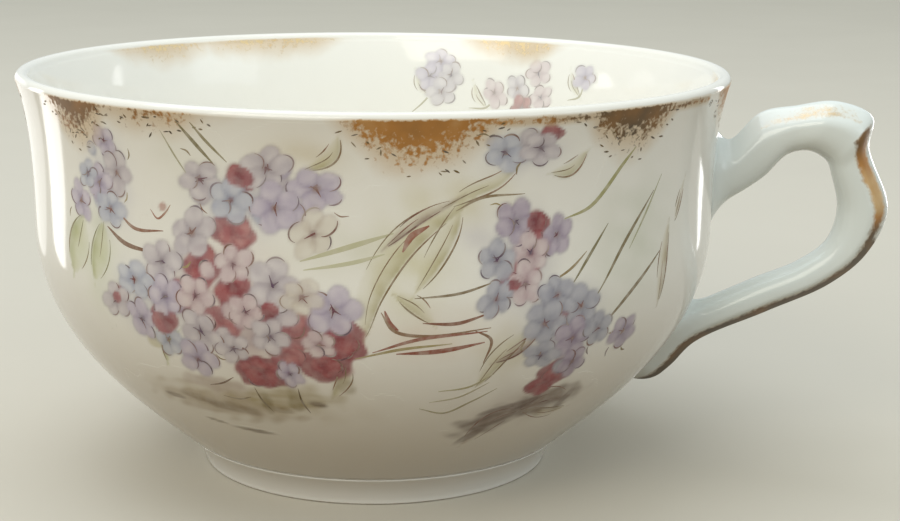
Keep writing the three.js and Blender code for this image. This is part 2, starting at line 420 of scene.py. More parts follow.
def make_foot():
    """The turned ring: a coved outside that spreads up to the bowl, and a land softened at its edges."""
    outer_bottom = FOOT_TOP_RADIUS - FOOT_TAPER
    inner_bottom = outer_bottom - FOOT_WALL
    inner_top = (inner_bottom - FOOT_LEAN, FOOT_HEIGHT)
    inner_edge = rounded_corner(
        (inner_bottom, FOOT_EDGE), (inner_bottom, 0), (inner_bottom + FOOT_EDGE, 0), EDGE_STEPS)
    outer_edge = rounded_corner(
        (outer_bottom - FOOT_EDGE, 0), (outer_bottom, 0), (outer_bottom, FOOT_EDGE), EDGE_STEPS)
    cove = rounded_corner(
        (outer_bottom, FOOT_EDGE), (outer_bottom + FOOT_COVE_OUT, FOOT_EDGE + FOOT_COVE_UP),
        (FOOT_TOP_RADIUS, FOOT_HEIGHT), COVE_STEPS)
    outline = [inner_top] + inner_edge + outer_edge + cove[1:] + [inner_top]
    return turn_on_wheel("foot_ring_turned", outline, FOOT_SEGMENTS)


# Handle


def handle_stations():
    """Back and belly of the loop and the spur, as points out from the axis and up, with widths."""
    root_top = CUP_HEIGHT - HANDLE_DROP
    spacing = root_top - LOWER_ROOT_HEIGHT
    wall = outside.radius_at(root_top)
    reach = HANDLE_OUT - wall
    root_share = 1 - UPPER_ROOT_DEPTH / spacing
    sink = -ROOT_SINK / reach
    shares = [
        ((sink, 0.99), (sink, root_share - 0.03), ROOT_WIDTH),
        ((0.07, 1.0), (0.09, root_share + 0.05), ROOT_WIDTH),
        ((0.25, 1.18), (0.28, 0.79), ARM_WIDTH),
        ((0.45, 1.225), (0.41, 0.93), ARM_WIDTH),
        ((0.68, 1.255), (0.53, 0.955), THUMB_REST_WIDTH),
        ((0.885, 1.165), (0.635, 0.895), THUMB_REST_WIDTH),
        ((0.875, 0.98), (0.668, 0.81), ARM_WIDTH),
        ((1.0, 0.61), (0.711, 0.6), ARM_WIDTH),
        ((0.897, 0.333), (0.655, 0.4), ARM_WIDTH),
        ((0.69, 0.135), (0.5, 0.27), ARM_WIDTH),
        ((0.34, -0.045), (0.22, 0.14), ARM_WIDTH),
    ]
    stations = []
    for back, belly, width in shares:
        back, belly = ((wall + out * reach, LOWER_ROOT_HEIGHT + up * spacing) for out, up in (back, belly))
        stations.append((back, belly, width))
    fall = LOWER_ROOT_HEIGHT - SPUR_TIP_HEIGHT
    for share in (0.34, 0.67, 1):
        radius, height, out, rise = outside.at(outside.length_at(LOWER_ROOT_HEIGHT - share * fall))
        thickness = SPUR_ROOT_THICKNESS + (SPUR_TIP_THICKNESS - SPUR_ROOT_THICKNESS) * share
        back = (radius + thickness * out, height + thickness * rise)
        belly = (radius - ROOT_SINK * out, height - ROOT_SINK * rise)
        stations.append((back, belly, ARM_WIDTH + (SPUR_WIDTH - ARM_WIDTH) * share))
    return stations


CAST_EDGE = 50  # degrees past which the casting keeps a sharp edge
HANDLE_SECTION = [  # share of the depth from belly to back, share of the half width, softness of the corner
    (1.0, 0.0, 0.30), (0.64, 1.0, 0.30), (0.2, 0.94, 0.5), (0.0, 0.4, 0.5),
]


def rounded_section():
    """The seven-sided section with its bevelled back, each corner drawn as a small curve."""
    corners = HANDLE_SECTION + [(depth, -side, soft) for depth, side, soft in HANDLE_SECTION[:0:-1]]
    points = []
    for i, (depth, side, soft) in enumerate(corners):
        corner = Vector((depth, side))
        before = Vector(corners[i - 1][:2])
        after = Vector(corners[(i + 1) % len(corners)][:2])
        points += rounded_corner(corner.lerp(before, soft), corner, corner.lerp(after, soft), CORNER_STEPS)
    deepest = max(depth for depth, _ in points)
    return [(depth / deepest, side) for depth, side in points]


def make_handle():
    """The cast loop, lofted through its stations, with luting fillets where it meets the wall."""
    stations = handle_stations()
    section = rounded_section()
    points, faces, gilt, tones = [], [], [], []
    for i in range(HANDLE_RINGS + 1):
        share = i / HANDLE_RINGS
        back = spline([s[0] for s in stations], share)
        belly = spline([s[1] for s in stations], share)
        half_width = spline([(s[2], 0) for s in stations], share).x / 2
        if share > TIP_START:
            rounding = math.sqrt(1 - TIP_ROUNDING * ((share - TIP_START) / (1 - TIP_START)) ** 2)
            half_width *= rounding
            back = belly.lerp(back, TIP_LEFT + (1 - TIP_LEFT) * rounding)
        for depth, side in section:
            at = belly.lerp(back, depth)
            points.append(flared(Vector((at.x, side * half_width, at.y)), belly.lerp(back, 0.5)))
            gilding, tone = handle_gilding(share, depth)
            gilt.append(gilding)
            tones.append(tone)
    count = len(section)
    for i in range(HANDLE_RINGS):
        for k in range(count):
            here, beside = i * count + k, i * count + (k + 1) % count
            faces.append((here, here + count, beside + count, beside))
    faces.append(tuple(range(count)))
    faces.append(tuple(HANDLE_RINGS * count + k for k in reversed(range(count))))
    handle = mesh_piece("handle_cast", [(p + Vector((AXIS_X, 0, 0))) * MM for p in points], faces)
    store(handle, "gilding", "FLOAT", gilt)
    store(handle, "gilt_tone_and_painted_light", "FLOAT", tones)
    make_active(handle)
    bpy.ops.object.mode_set(mode="EDIT")
    bpy.ops.mesh.select_all(action="SELECT")
    bpy.ops.mesh.normals_make_consistent(inside=False)
    bpy.ops.object.mode_set(mode="OBJECT")
    bpy.ops.object.shade_smooth_by_angle(angle=math.radians(CAST_EDGE))
    return handle


def flared(point, middle):
    """Spreads the handle's skin along the wall as it nears it, as the fired slip and glaze do."""
    radius = math.hypot(point.x, point.y)
    height = min(max(point.z, FOOT_HEIGHT), CUP_HEIGHT - FILLET_TOP_GAP)
    wall_radius, _, out, rise = outside.at(outside.length_at(height))
    gap = max((radius - wall_radius) * out, 0.0)
    if gap > FILLET_HEIGHT:
        return point
    normal = Vector((out * point.x / radius, out * point.y / radius, rise))
    away = Vector((point.x - middle.x, point.y, point.z - middle.y))
    away -= normal * away.dot(normal)
    spread = FILLET_SPREAD * (1 - gap / FILLET_HEIGHT) ** FILLET_CURVE
    return point + away.normalized() * spread if away.length > 1e-6 else point


# Gold on the handle, by shares of its length from the upper root and of its depth from belly to back
STROKE_MIDDLE, STROKE_HALF_LENGTH, STROKE_DEPTH = 0.265, 0.105, 0.84
STROKE_STRENGTH, STROKE_FADE, STROKE_TONE = 0.4, 6, 0.85
BEVEL_START, BEVEL_EDGE, BEVEL_RIDGE = 0.385, 0.52, 0.91
# shares of the length over which the bevel's gold brightens, and over which painted shade darkens it down
# the lower arm
BEVEL_BRIGHTENS, LOWER_ARM_PAINTED_SHADE = (0.40, 0.5), (0.52, 0.58)
START_TONE, FULL_TONE = 0.15, 0.7
BEVEL_NARROWS, LOWER_LINE_EDGE = (0.42, 0.56), 0.71
RIDGE_CLOSES, RIDGE_FILL = (0.58, 0.64), 8
HANDLE_LENGTH, HANDLE_DEPTH, RIDGE_FIRMNESS = 90, 7, 9  # these turn the shares into millimetres
HANDLE_BARE = -4.0


def handle_gilding(share, depth):
    """Depth inside the gold on the handle's back bevels, in millimetres, and its tone: a pale worn stroke on
    top of the thumb rest, a full bevel outside it with a bare ridge, and a line down the lower arm to the
    spur that painted shade makes dark."""
    stroke = (1 - ((share - STROKE_MIDDLE) / STROKE_HALF_LENGTH) ** 2) * STROKE_STRENGTH
    stroke -= abs(depth - STROKE_DEPTH) * STROKE_FADE
    edge = BEVEL_EDGE + (LOWER_LINE_EDGE - BEVEL_EDGE) * smooth_step(*BEVEL_NARROWS, share)
    ridge = (BEVEL_RIDGE - depth) * RIDGE_FIRMNESS + RIDGE_FILL * smooth_step(*RIDGE_CLOSES, share)
    bevel = min((share - BEVEL_START) * HANDLE_LENGTH, (depth - edge) * HANDLE_DEPTH, ridge)
    tone = START_TONE + (FULL_TONE - START_TONE) * smooth_step(*BEVEL_BRIGHTENS, share)
    # painted shade: the gold goes dark down the lower arm to the spur
    tone -= FULL_TONE * smooth_step(*LOWER_ARM_PAINTED_SHADE, share)
    return max(stroke, bevel, HANDLE_BARE), STROKE_TONE if stroke > bevel else tone


# Materials

BODY = ("#f2f0ea", "#f5f4ef")
GLAZE_IOR = 1.52
GLAZE_ROUGHNESS = 0.09
GILT_ROUGHNESS = 0.5
GILT_METAL = 0.35  # worn gold on a white ground shows less metal than a full coat
BISCUIT_ROUGHNESS = 0.7
ENAMEL_ROUGHNESS = 0.13
PAPER_ROUGHNESS, PAPER_SHEEN = 0.9, 0.1
BISCUIT = "#e3dccd"
GOLD_DUST = "#d3b891"
# the dark gold serves partly as painted shade, and the pale gold partly as a painted highlight
DARK_GOLD_AND_SHADE, OCHRE_GOLD, PALE_GOLD_AND_HIGHLIGHT = "#4c3a22", "#b0772f", "#e4cc9c"
THIN_ENAMEL = "#d9d2c6"


def glazed_porcelain(name, body, sponging=None, washes=False, bare_land=False):
    """Hard-paste porcelain under a clear feldspathic glaze: a warm white body and a wet-looking sheen with
    slow waves in it. It may carry thin enamel washes, a bare land and sponged gilding."""
    material, tree, shader = new_material(name)
    place = add_node(tree, "TexCoord").outputs["Object"]
    cloud = add_node(tree, "TexNoise", {"Vector": place, "Scale": 1 / (18 * MM), "Detail": 2.0})
    colour = add_node(tree, "Mix", {0: cloud.outputs["Fac"], 6: linear(body[0]), 7: linear(body[1])},
                      data_type="RGBA").outputs[2]
    shader.inputs["IOR"].default_value = GLAZE_IOR
    shader.inputs["Roughness"].default_value = GLAZE_ROUGHNESS
    wave = add_node(tree, "TexNoise", {"Vector": place, "Scale": 1 / (14 * MM), "Detail": 1.0})
    bump = add_node(tree, "Bump", {"Height": wave.outputs["Fac"], "Strength": 0.25, "Distance": 0.4 * MM})
    tree.links.new(bump.outputs[0], shader.inputs["Normal"])
    if washes:
        colour = washed_over(tree, place, colour)
    if bare_land:
        colour = bared_land(tree, shader, place, colour)
    if sponging:
        colour = sponged_gold(tree, shader, place, colour, *sponging)
    tree.links.new(colour, shader.inputs["Base Color"])
    return material


def washed_over(tree, place, colour):
    """Thin enamel washes over a colour, grainy as a brush leaves them."""
    wash = add_node(tree, "Attribute", attribute_name="wash")
    grain = add_node(tree, "TexNoise", {"Vector": place, "Scale": 1 / (1.2 * MM), "Detail": 3.0})
    grainy = add_node(tree, "MapRange", {0: grain.outputs["Fac"], 1: 0.35, 2: 0.6, 3: 0.9, 4: 1.0})
    strength = add_node(tree, "Math", {0: wash.outputs["Alpha"], 1: grainy.outputs[0]},
                        operation="MULTIPLY")
    return add_node(tree, "Mix", {0: strength.outputs[0], 6: colour, 7: wash.outputs["Color"]},
                    data_type="RGBA").outputs[2]


def bared_land(tree, shader, place, colour):
    """Dull biscuit where the piece stands, because glaze there would stick to the kiln shelf."""
    height = add_node(tree, "SeparateXYZ", {0: place}).outputs["Z"]
    bare = add_node(tree, "MapRange", {0: height, 1: 0.1 * MM, 2: 0.2 * MM, 3: 1.0, 4: 0.0}).outputs[0]
    rough = add_node(tree, "MapRange", {0: bare, 1: 0.0, 2: 1.0, 3: GLAZE_ROUGHNESS, 4: BISCUIT_ROUGHNESS})
    tree.links.new(rough.outputs[0], shader.inputs["Roughness"])
    return add_node(tree, "Mix", {0: bare, 6: colour, 7: linear(BISCUIT)}, data_type="RGBA").outputs[2]


def sponged_gold(tree, shader, place, colour, wander, graininess, softness, spread):
    """Worn ochre gold over a colour, which thins out in grains. The wander of its edge, the reach of its
    grains, the softness of its fade and the spread of its dust are in millimetres."""
    gilding = add_node(tree, "Attribute", attribute_name="gilding").outputs["Fac"]
    broad = add_node(tree, "TexNoise", {"Vector": place, "Scale": 1 / (5 * MM), "Detail": 3.0})
    sweep = add_node(tree, "MapRange", {0: broad.outputs["Fac"], 1: 0.3, 2: 0.7, 3: -wander, 4: wander})
    sponge = add_node(tree, "TexNoise", {"Vector": place, "Scale": 1 / (0.7 * MM), "Detail": 2.0,
                                         "Roughness": 0.6})
    grains = add_node(tree, "MapRange", {0: sponge.outputs["Fac"], 1: 0.3, 2: 0.7, 3: -graininess,
                                         4: graininess})
    field = add_node(tree, "Math", {0: gilding, 1: sweep.outputs[0]}, operation="ADD").outputs[0]
    grained = add_node(tree, "Math", {0: field, 1: grains.outputs[0]}, operation="ADD")
    gold = add_node(tree, "MapRange", {0: grained.outputs[0], 1: -0.3, 2: softness, 3: 0.0, 4: 0.95},
                    interpolation_type="SMOOTHSTEP").outputs[0]
    dust = add_node(tree, "MapRange", {0: field, 1: -spread, 2: 0.8, 3: 0.0, 4: 0.75},
                    interpolation_type="SMOOTHSTEP")
    colour = add_node(tree, "Mix", {0: dust.outputs[0], 6: colour, 7: linear(GOLD_DUST)},
                      data_type="RGBA").outputs[2]
    # the gold's tone from dark to pale: partly its own unevenness, partly painted shade and painted
    # highlight
    tone = add_node(tree, "Attribute", attribute_name="gilt_tone_and_painted_light").outputs["Fac"]
    uneven = add_node(tree, "MapRange", {0: broad.outputs["Fac"], 1: 0.3, 2: 0.7, 3: -0.14, 4: 0.14})
    tone = add_node(tree, "Math", {0: tone, 1: uneven.outputs[0]}, operation="ADD").outputs[0]
    deep = add_node(tree, "MapRange", {0: tone, 1: 0.0, 2: 0.5})
    pale = add_node(tree, "MapRange", {0: tone, 1: 0.5, 2: 1.0})
    leaf = add_node(tree, "Mix", {0: deep.outputs[0], 6: linear(DARK_GOLD_AND_SHADE), 7: linear(OCHRE_GOLD)},
                    data_type="RGBA")
    leaf = add_node(tree, "Mix", {0: pale.outputs[0], 6: leaf.outputs[2], 7: linear(PALE_GOLD_AND_HIGHLIGHT)},
                    data_type="RGBA")
    metal = add_node(tree, "Math", {0: gold, 1: GILT_METAL}, operation="MULTIPLY")
    tree.links.new(metal.outputs[0], shader.inputs["Metallic"])
    rough = add_node(tree, "MapRange", {0: gold, 1: 0.0, 2: 1.0, 3: GLAZE_ROUGHNESS, 4: GILT_ROUGHNESS})
    tree.links.new(rough.outputs[0], shader.inputs["Roughness"])
    return add_node(tree, "Mix", {0: gold, 6: colour, 7: leaf.outputs[2]}, data_type="RGBA").outputs[2]


def fired_enamel(name):
    """Overglaze enamel drawn with a pen: fused to a gloss, a little uneven in tone along each stroke."""
    material, tree, shader = new_material(name)
    place = add_node(tree, "TexCoord").outputs["Object"]
    tint = add_node(tree, "Attribute", attribute_name="enamel").outputs["Color"]
    cloud = add_node(tree, "TexNoise", {"Vector": place, "Scale": 1 / (1.2 * MM), "Detail": 3.0})
    share = add_node(tree, "MapRange", {0: cloud.outputs["Fac"], 1: 0.4, 2: 0.7, 3: 0.0, 4: 0.4})
    colour = add_node(tree, "Mix", {0: share.outputs[0], 6: tint, 7: linear(THIN_ENAMEL)}, data_type="RGBA")
    tree.links.new(colour.outputs[2], shader.inputs["Base Color"])
    shader.inputs["Roughness"].default_value = ENAMEL_ROUGHNESS
    shader.inputs["IOR"].default_value = GLAZE_IOR
    return material


def studio_paper(name, tone, bounce):
    """Matt seamless paper: an even pale tone with no sheen, which throws a deeper, warmer light back on the
    cup, as a table does."""
    material, tree, shader = new_material(name)
    place = add_node(tree, "TexCoord").outputs["Object"]
    fibre = add_node(tree, "TexNoise", {"Vector": place, "Scale": 1 / (50 * MM), "Detail": 3.0})
    colour = add_node(tree, "Mix", {0: fibre.outputs["Fac"], 6: linear(tone[0]), 7: linear(tone[1])},
                      data_type="RGBA").outputs[2]
    rays = add_node(tree, "LightPath").outputs
    seen = add_node(tree, "Math", {0: rays["Is Camera Ray"], 1: rays["Is Glossy Ray"]}, operation="MAXIMUM")
    seen = add_node(tree, "Math", {0: seen.outputs[0], 1: rays["Is Transmission Ray"]}, operation="MAXIMUM")
    colour = add_node(tree, "Mix", {0: seen.outputs[0], 6: linear(bounce), 7: colour}, data_type="RGBA")
    tree.links.new(colour.outputs[2], shader.inputs["Base Color"])
    shader.inputs["Roughness"].default_value = PAPER_ROUGHNESS
    shader.inputs["Specular IOR Level"].default_value = PAPER_SHEEN
    return material


# Decoration: thin washes of enamel laid on the wall as a film, with pen lines over them

SPRAY_MIDDLES = [("front", FRONT_ANGLE, 1), ("back", FRONT_ANGLE + 180, -1)]
FILM_CELL = 0.3
FILM_LIFT = 0.009
PEN_LIFT = 0.017
PEN_STEP, PEN_LEVELS = 0.0008, 12  # each pen line lies a step above the last, through so many levels
COAT = 0.04
FAINT = 0.012  # a weaker wash leaves no film

PETAL_TINTS = {  # petal, its paler part, its shade, and the strength of the wash
    "lilac": ("#c0b6cb", "#d6cdda", "#9285a4", 0.92),
    "grey": ("#c6bec6", "#dbd4d8", "#9b8f9c", 0.9),
    "blue": ("#bbbecf", "#d1d3dd", "#9094ab", 0.9),
    "mauve": ("#ad9fb5", "#c2b6c6", "#7f6e8c", 0.92),
    "slate": ("#aaaab9", "#c0c0cb", "#7e7e93", 0.9),
    "cream": ("#e0d8ca", "#ece7db", "#b09e92", 0.5),
    "pink": ("#d0bcc1", "#e0d3d4", "#a88a93", 0.9),
    "rose": ("#ab666b", "#bd7f7f", "#87454d", 0.92),
    "crimson": ("#9c4850", "#ac5c5e", "#7a323c", 0.94),
}
PEN_TINTS = ("#5f4a58", "#6e4a4e", "#784e44")
HEART_TINTS = ("#5f4560", "#704454", "#7a4a48")
OLIVE = ("#c9c298", "#aea574", "#7f6f4c")
PALE_GREEN = ("#c3c590", "#a9ad74", "#85855c")
RUSSET = ("#b3a090", "#8b6f62", "#6d483e")
UMBER = ("#c4b693", "#9f8c67", "#786346")
LEAF_INK_END = "#9a6350"
SPRIG_STEM = "#a9a382"


def tint_of(hex_code):
    return np.array(linear(hex_code)[:3])


def tapered(widest, count):
    """Widths of a stroke that swells in the middle and thins at both ends."""
    return widest * (0.2 + 0.8 * np.sin(np.linspace(0, math.pi, count)))


def cloud(x, y, size, chance):
    """Smooth uneven values from 0 to 1 over a patch, in waves of about the size."""
    total = np.full_like(x, 0.5)
    for _ in range(5):
        turn, phase = chance.uniform(0, math.tau), chance.uniform(0, math.tau)
        pitch = math.tau / (size * chance.uniform(0.7, 1.5))
        total += 0.17 * np.sin(pitch * (x * math.cos(turn) + y * math.sin(turn)) + phase)
    return np.clip(total, 0.0, 1.0)


def without_pinches(squares):
    """Fills squares of a grid until no two of them meet only at a corner."""
    squares = squares.copy()
    blocks = a, b, c, d = squares[:-1, :-1], squares[:-1, 1:], squares[1:, :-1], squares[1:, 1:]
    while True:
        pinched = (a & d & ~b & ~c) | (b & c & ~a & ~d)
        if not pinched.any():
            return squares
        for block in blocks:
            block |= pinched


class Film:
    """A patch of the wall as a fine grid of points that holds the tint and strength of the washes. Places
    on it are millimetres right of its middle, measured at the belly, and millimetres up the wall."""

    def __init__(self, wall, middle, direction, half_width, low, high):
        self.wall, self.middle, self.direction = wall, math.radians(middle), direction
        self.half_width, self.start = half_width, wall.length_at(low)
        across = np.arange(-half_width, half_width, FILM_CELL)
        along = np.arange(self.start, wall.length_at(high), FILM_CELL)
        self.rows, self.columns = len(along), len(across)
        self.right, self.length = (grid.ravel() for grid in np.meshgrid(across, along))
        self.scale = wall.at(self.length)[0] / BELLY_RADIUS
        self.colour = np.zeros((self.right.size, 3))
        self.strength = np.zeros(self.right.size)
        self.layer = np.zeros(self.right.size, int)
        self.layers = 0
        self.lines = []

    def near(self, right, height, reach):
        """The points within reach of a spot, with their places about it in millimetres."""
        x = (self.right - right) * self.scale
        y = self.length - self.wall.length_at(height)
        chosen = np.flatnonzero((np.abs(x) < reach) & (np.abs(y) < reach))
        return chosen, x[chosen], y[chosen]

    def about(self, right, height, offsets):
        """Places on the film at offsets in millimetres about a spot."""
        x, y = np.array(offsets).T
        length = self.wall.length_at(height) + y
        return np.stack((right + x * BELLY_RADIUS / self.wall.at(length)[0], length), -1)

    def path(self, points, steps):
        """Places along a curve through points given as right of the middle and height."""
        right, height = np.array([spline(points, k / steps) for k in range(steps + 1)]).T
        return np.stack((right, self.wall.length_at(height)), -1)

    def place(self, right, length, lift):
        """Points in space at places on the film, lifted off the glaze."""
        radius, height, out, rise = self.wall.at(length)
        turn = self.middle + self.direction * self.wall.outwards * right / BELLY_RADIUS
        reach = radius + lift * out
        return np.stack((AXIS_X + reach * np.cos(turn), reach * np.sin(turn), height + lift * rise), -1) * MM

    def lay(self, chosen, cover, tint):
        """Lays a tint over what is there already, as strongly as it covers each point."""
        under = self.strength[chosen] * (1 - cover)
        total = np.maximum(cover + under, 1e-6)[:, None]
        self.colour[chosen] = (tint * cover[:, None] + self.colour[chosen] * under[:, None]) / total
        self.strength[chosen] = cover + under

    def line(self, places, widths, tint, end_tint=None):
        """Keeps a pen line for later, from one tint to another, above what is painted so far."""
        shares = np.linspace(0, 1, len(places))[:, None]
        change = 0 if end_tint is None else end_tint - tint
        tints = tint + change * shares
        self.lines.append((places, widths, tints, self.layers))

    def ink(self, pen, strength=1.0):
        """Draws the kept lines, without the parts that petals painted later cover, at a strength of ink."""
        bare = tint_of(BODY[0])
        for places, widths, tints, layer in self.lines:
            column = np.rint((places[:, 0] + self.half_width) / FILM_CELL).astype(int)
            row = np.rint((places[:, 1] - self.start) / FILM_CELL).astype(int)
            at = np.clip(row, 0, self.rows - 1) * self.columns + np.clip(column, 0, self.columns - 1)
            seen = self.layer[at] <= layer
            for part in np.split(np.arange(len(places)), np.flatnonzero(np.diff(seen)) + 1):
                if seen[part[0]] and len(part) > 2:
                    pen.stroke(self, places[part], widths[part], bare + (tints[part] - bare) * strength)

    def piece(self, name):
        """The washed part of the film as a thin closed coat."""
        washed = (self.strength > FAINT).reshape(self.rows, self.columns)
        squares = washed[:-1, :-1] | washed[1:, :-1] | washed[:-1, 1:] | washed[1:, 1:]
        row, column = np.nonzero(without_pinches(squares))
        corner = row * self.columns + column
        faces = np.stack((corner, corner + 1, corner + self.columns + 1, corner + self.columns), -1)
        used, faces = np.unique(faces[:, ::self.direction], return_inverse=True)
        points = self.place(self.right[used], self.length[used], FILM_LIFT)
        piece = mesh_piece(name, points.tolist(), faces.reshape(-1, 4).tolist())
        store(piece, "wash", "FLOAT_COLOR", np.column_stack((self.colour[used], self.strength[used])))
        gild_rim(piece)
        thicken(piece, COAT)
        return piece


class Pen:
    """Thin pen lines on one side of the wall, gathered into a single piece."""

    def __init__(self):
        self.points, self.faces, self.tints = [], [], []
        self.strokes = 0

    def stroke(self, film, places, widths, tints):
        """A flat ribbon along places on a film, at a height of its own so that crossing lines stay clean."""
        scale = film.wall.at(places[:, 1])[0] / BELLY_RADIUS
        along_x, along_y = np.gradient(places, axis=0).T * (scale, np.ones_like(scale))
        span = np.maximum(np.hypot(along_x, along_y), 1e-9)
        across = np.stack((-along_y / span / scale, along_x / span), -1) * widths[:, None] / 2
        lift = PEN_LIFT + PEN_STEP * (self.strokes % PEN_LEVELS)
        start = len(self.points)
        left, right = (film.place(*(places + side * across).T, lift) for side in (1, -1))
        self.points += np.stack((left, right), 1).reshape(-1, 3).tolist()
        self.tints += np.repeat(tints, 2, axis=0).tolist()
        for k in range(start, start + 2 * len(places) - 2, 2):
            self.faces.append((k + 1, k + 3, k + 2, k)[::film.direction])
        self.strokes += 1

    def piece(self, name):
        piece = mesh_piece(name, self.points, self.faces)
        store(piece, "enamel", "FLOAT_COLOR", [(*tint, 1.0) for tint in self.tints])
        thicken(piece, COAT)
        return piece


PETAL_MIDDLE, PETAL_HALF_LENGTH, PETAL_HALF_WIDTH = 0.285, 0.225, 0.205  # as shares of a flower's width
PETAL_REACH, HEART_REACH = 0.65, 0.2
PETAL_HALO = 0.42  # millimetres of soft shade round a petal
PETAL_WAVER = 0.14
PETAL_EDGE = (-0.12, 0.18)  # over these depths inside its edge the wash comes in
EDGE_POINTS = 13
FINE_PEN = (0.14, 0.24)
PATCH_PETAL_SIZES, PATCH_CROWDING = (5.0, 6.2), 1.4
LEAF_STEPS, STEM_STEPS = 26, 24
LEAF_LINES = [  # side of the rib, begin and end as shares of its length, thickness
    (-1, 0.0, 1.0, 0.22), (1, 0.25, 0.95, 0.16), (0, 0.0, 0.75, 0.13),
]


def turned(point, pose):
    """Turns a petal's point round its flower and foreshortens the flower along its lean."""
    (x, y), (turn, lean, squash) = point, pose
    px = x * math.cos(turn) - y * math.sin(turn)
    py = x * math.sin(turn) + y * math.cos(turn)
    cut = (px * math.cos(lean) + py * math.sin(lean)) * (1 - squash)
    return px - cut * math.cos(lean), py - cut * math.sin(lean)


def paint_petal(film, spot, size, pose, tint, chance, lined=0.8):
    """A round petal in a thin wash, uneven in tone and deeper at its base, with a soft shade round it and
    a broken pen line along part of its edge."""
    petal, pale, shade = (tint_of(code) for code in PETAL_TINTS[tint][:3])
    strength = PETAL_TINTS[tint][3]
    turn, lean, squash = pose
    film.layers += 1
    chosen, x, y = film.near(*spot, size * PETAL_REACH)
    stretch = (x * math.cos(lean) + y * math.sin(lean)) * (1 / squash - 1)
    x, y = x + stretch * math.cos(lean), y + stretch * math.sin(lean)
    out = (x * math.cos(turn) + y * math.sin(turn)) / size - PETAL_MIDDLE
    side = (y * math.cos(turn) - x * math.sin(turn)) / size
    depth = (1 - np.hypot(out / PETAL_HALF_LENGTH, side / PETAL_HALF_WIDTH)) * PETAL_HALF_WIDTH * size
    depth += PETAL_WAVER * (cloud(x, y, 1.6, chance) - 0.5)
    film.lay(chosen, 0.3 * smooth_step(-PETAL_HALO, 0.0, depth), shade)
    tone = petal + (pale - petal) * cloud(x, y, 2.4, chance)[:, None]
    deep = 0.5 * smooth_step(0.0, 1.0, -out / PETAL_HALF_LENGTH) + 0.25 * smooth_step(0.4, 0.0, depth)
    film.lay(chosen, strength * smooth_step(*PETAL_EDGE, depth), tone + (shade - tone) * deep[:, None])
    film.layer[chosen[depth > 0.12]] = film.layers
    if chance.random() < lined:
        ink = tint_of(chance.choice(PEN_TINTS))
        middle = chance.choice((0.0, 0.0, -0.6 - turn, 0.5 - turn)) + chance.gauss(0, 0.35)
        bends = middle + chance.uniform(0.7, 1.35) * np.linspace(-1, 1, EDGE_POINTS)
        edge = [turned((size * (PETAL_MIDDLE + PETAL_HALF_LENGTH * math.cos(bend)),
                        size * PETAL_HALF_WIDTH * math.sin(bend)), pose) for bend in bends]
        film.line(film.about(*spot, edge), tapered(chance.uniform(*FINE_PEN), EDGE_POINTS),
                  ink + (petal - ink) * chance.uniform(0.0, 0.45))


def paint_blossom(film, spot, size, tint, chance):
    """Five petals round a small dark heart with a few short veins."""
    lean, squash = chance.uniform(0, math.tau), chance.uniform(0.74, 1.0)
    start = chance.uniform(0, math.tau)
    for petal in chance.sample(range(5), 5):
        turn = start + math.tau * petal / 5 + chance.uniform(-0.12, 0.12)
        paint_petal(film, spot, size * chance.uniform(0.9, 1.08), (turn, lean, squash), tint, chance)
    heart = tint_of(chance.choice(HEART_TINTS))
    chosen, x, y = film.near(*spot, size * HEART_REACH)
    film.lay(chosen, 0.7 * smooth_step(0.1 * size, 0.03 * size, np.hypot(x, y)), heart)
    for _ in range(3):
        pose = (start + math.tau * (chance.randint(0, 4) + 0.5) / 5, lean, squash)
        reach = size * chance.uniform(0.08, 0.2)
        vein = [turned((reach * share, 0), pose) for share in (-0.2, 0.15, 0.55, 1.0)]
        film.line(film.about(*spot, vein), size * np.array((0.03, 0.04, 0.022, 0.01)), heart)


def paint_patch(film, spot, half_width, half_height, tint, chance):
    """Deep-coloured petals half hidden among the pale ones, on a cloudy ground of their own colour."""
    petal, _, shade = (tint_of(code) for code in PETAL_TINTS[tint][:3])
    chosen, x, y = film.near(*spot, 1.5 * max(half_width, half_height))
    depth = 1 - np.hypot(x / half_width, y / half_height) + 0.3 * (cloud(x, y, 3.0, chance) - 0.5)
    tone = petal + (shade - petal) * 0.7 * cloud(x, y, 2.6, chance)[:, None]
    film.lay(chosen, 0.9 * smooth_step(-0.05, 0.15, depth), tone)
    for _ in range(max(1, round(half_width * half_height / PATCH_CROWDING))):
        turn, reach = chance.uniform(0, math.tau), chance.uniform(0.1, 0.55)
        size = chance.uniform(*PATCH_PETAL_SIZES)
        inset = PETAL_MIDDLE * size
        offset = ((half_width * reach - inset) * math.cos(turn),
                  (half_height * reach - inset) * math.sin(turn))
        right, length = film.about(*spot, [offset])[0]
        height = film.wall.at(length)[1]
        paint_petal(film, (right, height), size, (turn, 0.0, 1.0), tint, chance, 0.25)


def paint_red_petal(film, spot, half_width, half_height, tint, chance):
    """A single deep-coloured petal that shows between the pale ones."""
    petal, _, shade = (tint_of(code) for code in PETAL_TINTS[tint][:3])
    film.layers += 1
    chosen, x, y = film.near(*spot, 1.5 * max(half_width, half_height))
    depth = 1 - np.hypot(x / half_width, y / half_height) + 0.25 * (cloud(x, y, 2.0, chance) - 0.5)
    tone = petal + (shade - petal) * cloud(x, y, 2.4, chance)[:, None]
    film.lay(chosen, 0.92 * smooth_step(-0.08, 0.14, depth), tone)
    film.layer[chosen[depth > 0.06]] = film.layers


def paint_smudge(film, spot, half_length, half_width, lean, tint, amount, chance):
    """A dab of a drying brush: soft at its edges and streaked along its length."""
    chosen, x, y = film.near(*spot, 1.6 * half_length + 1)
    lean = math.radians(lean)
    along, side = x * math.cos(lean) + y * math.sin(lean), y * math.cos(lean) - x * math.sin(lean)
    depth = 1 - np.hypot(along / half_length, side / half_width) + 0.5 * (cloud(x, y, 3.0, chance) - 0.5)
    streaks = 0.6 + 0.4 * cloud(along / 5, side, 1.3, chance)
    film.lay(chosen, amount * streaks * smooth_step(-0.25, 0.45, depth), tint_of(tint))


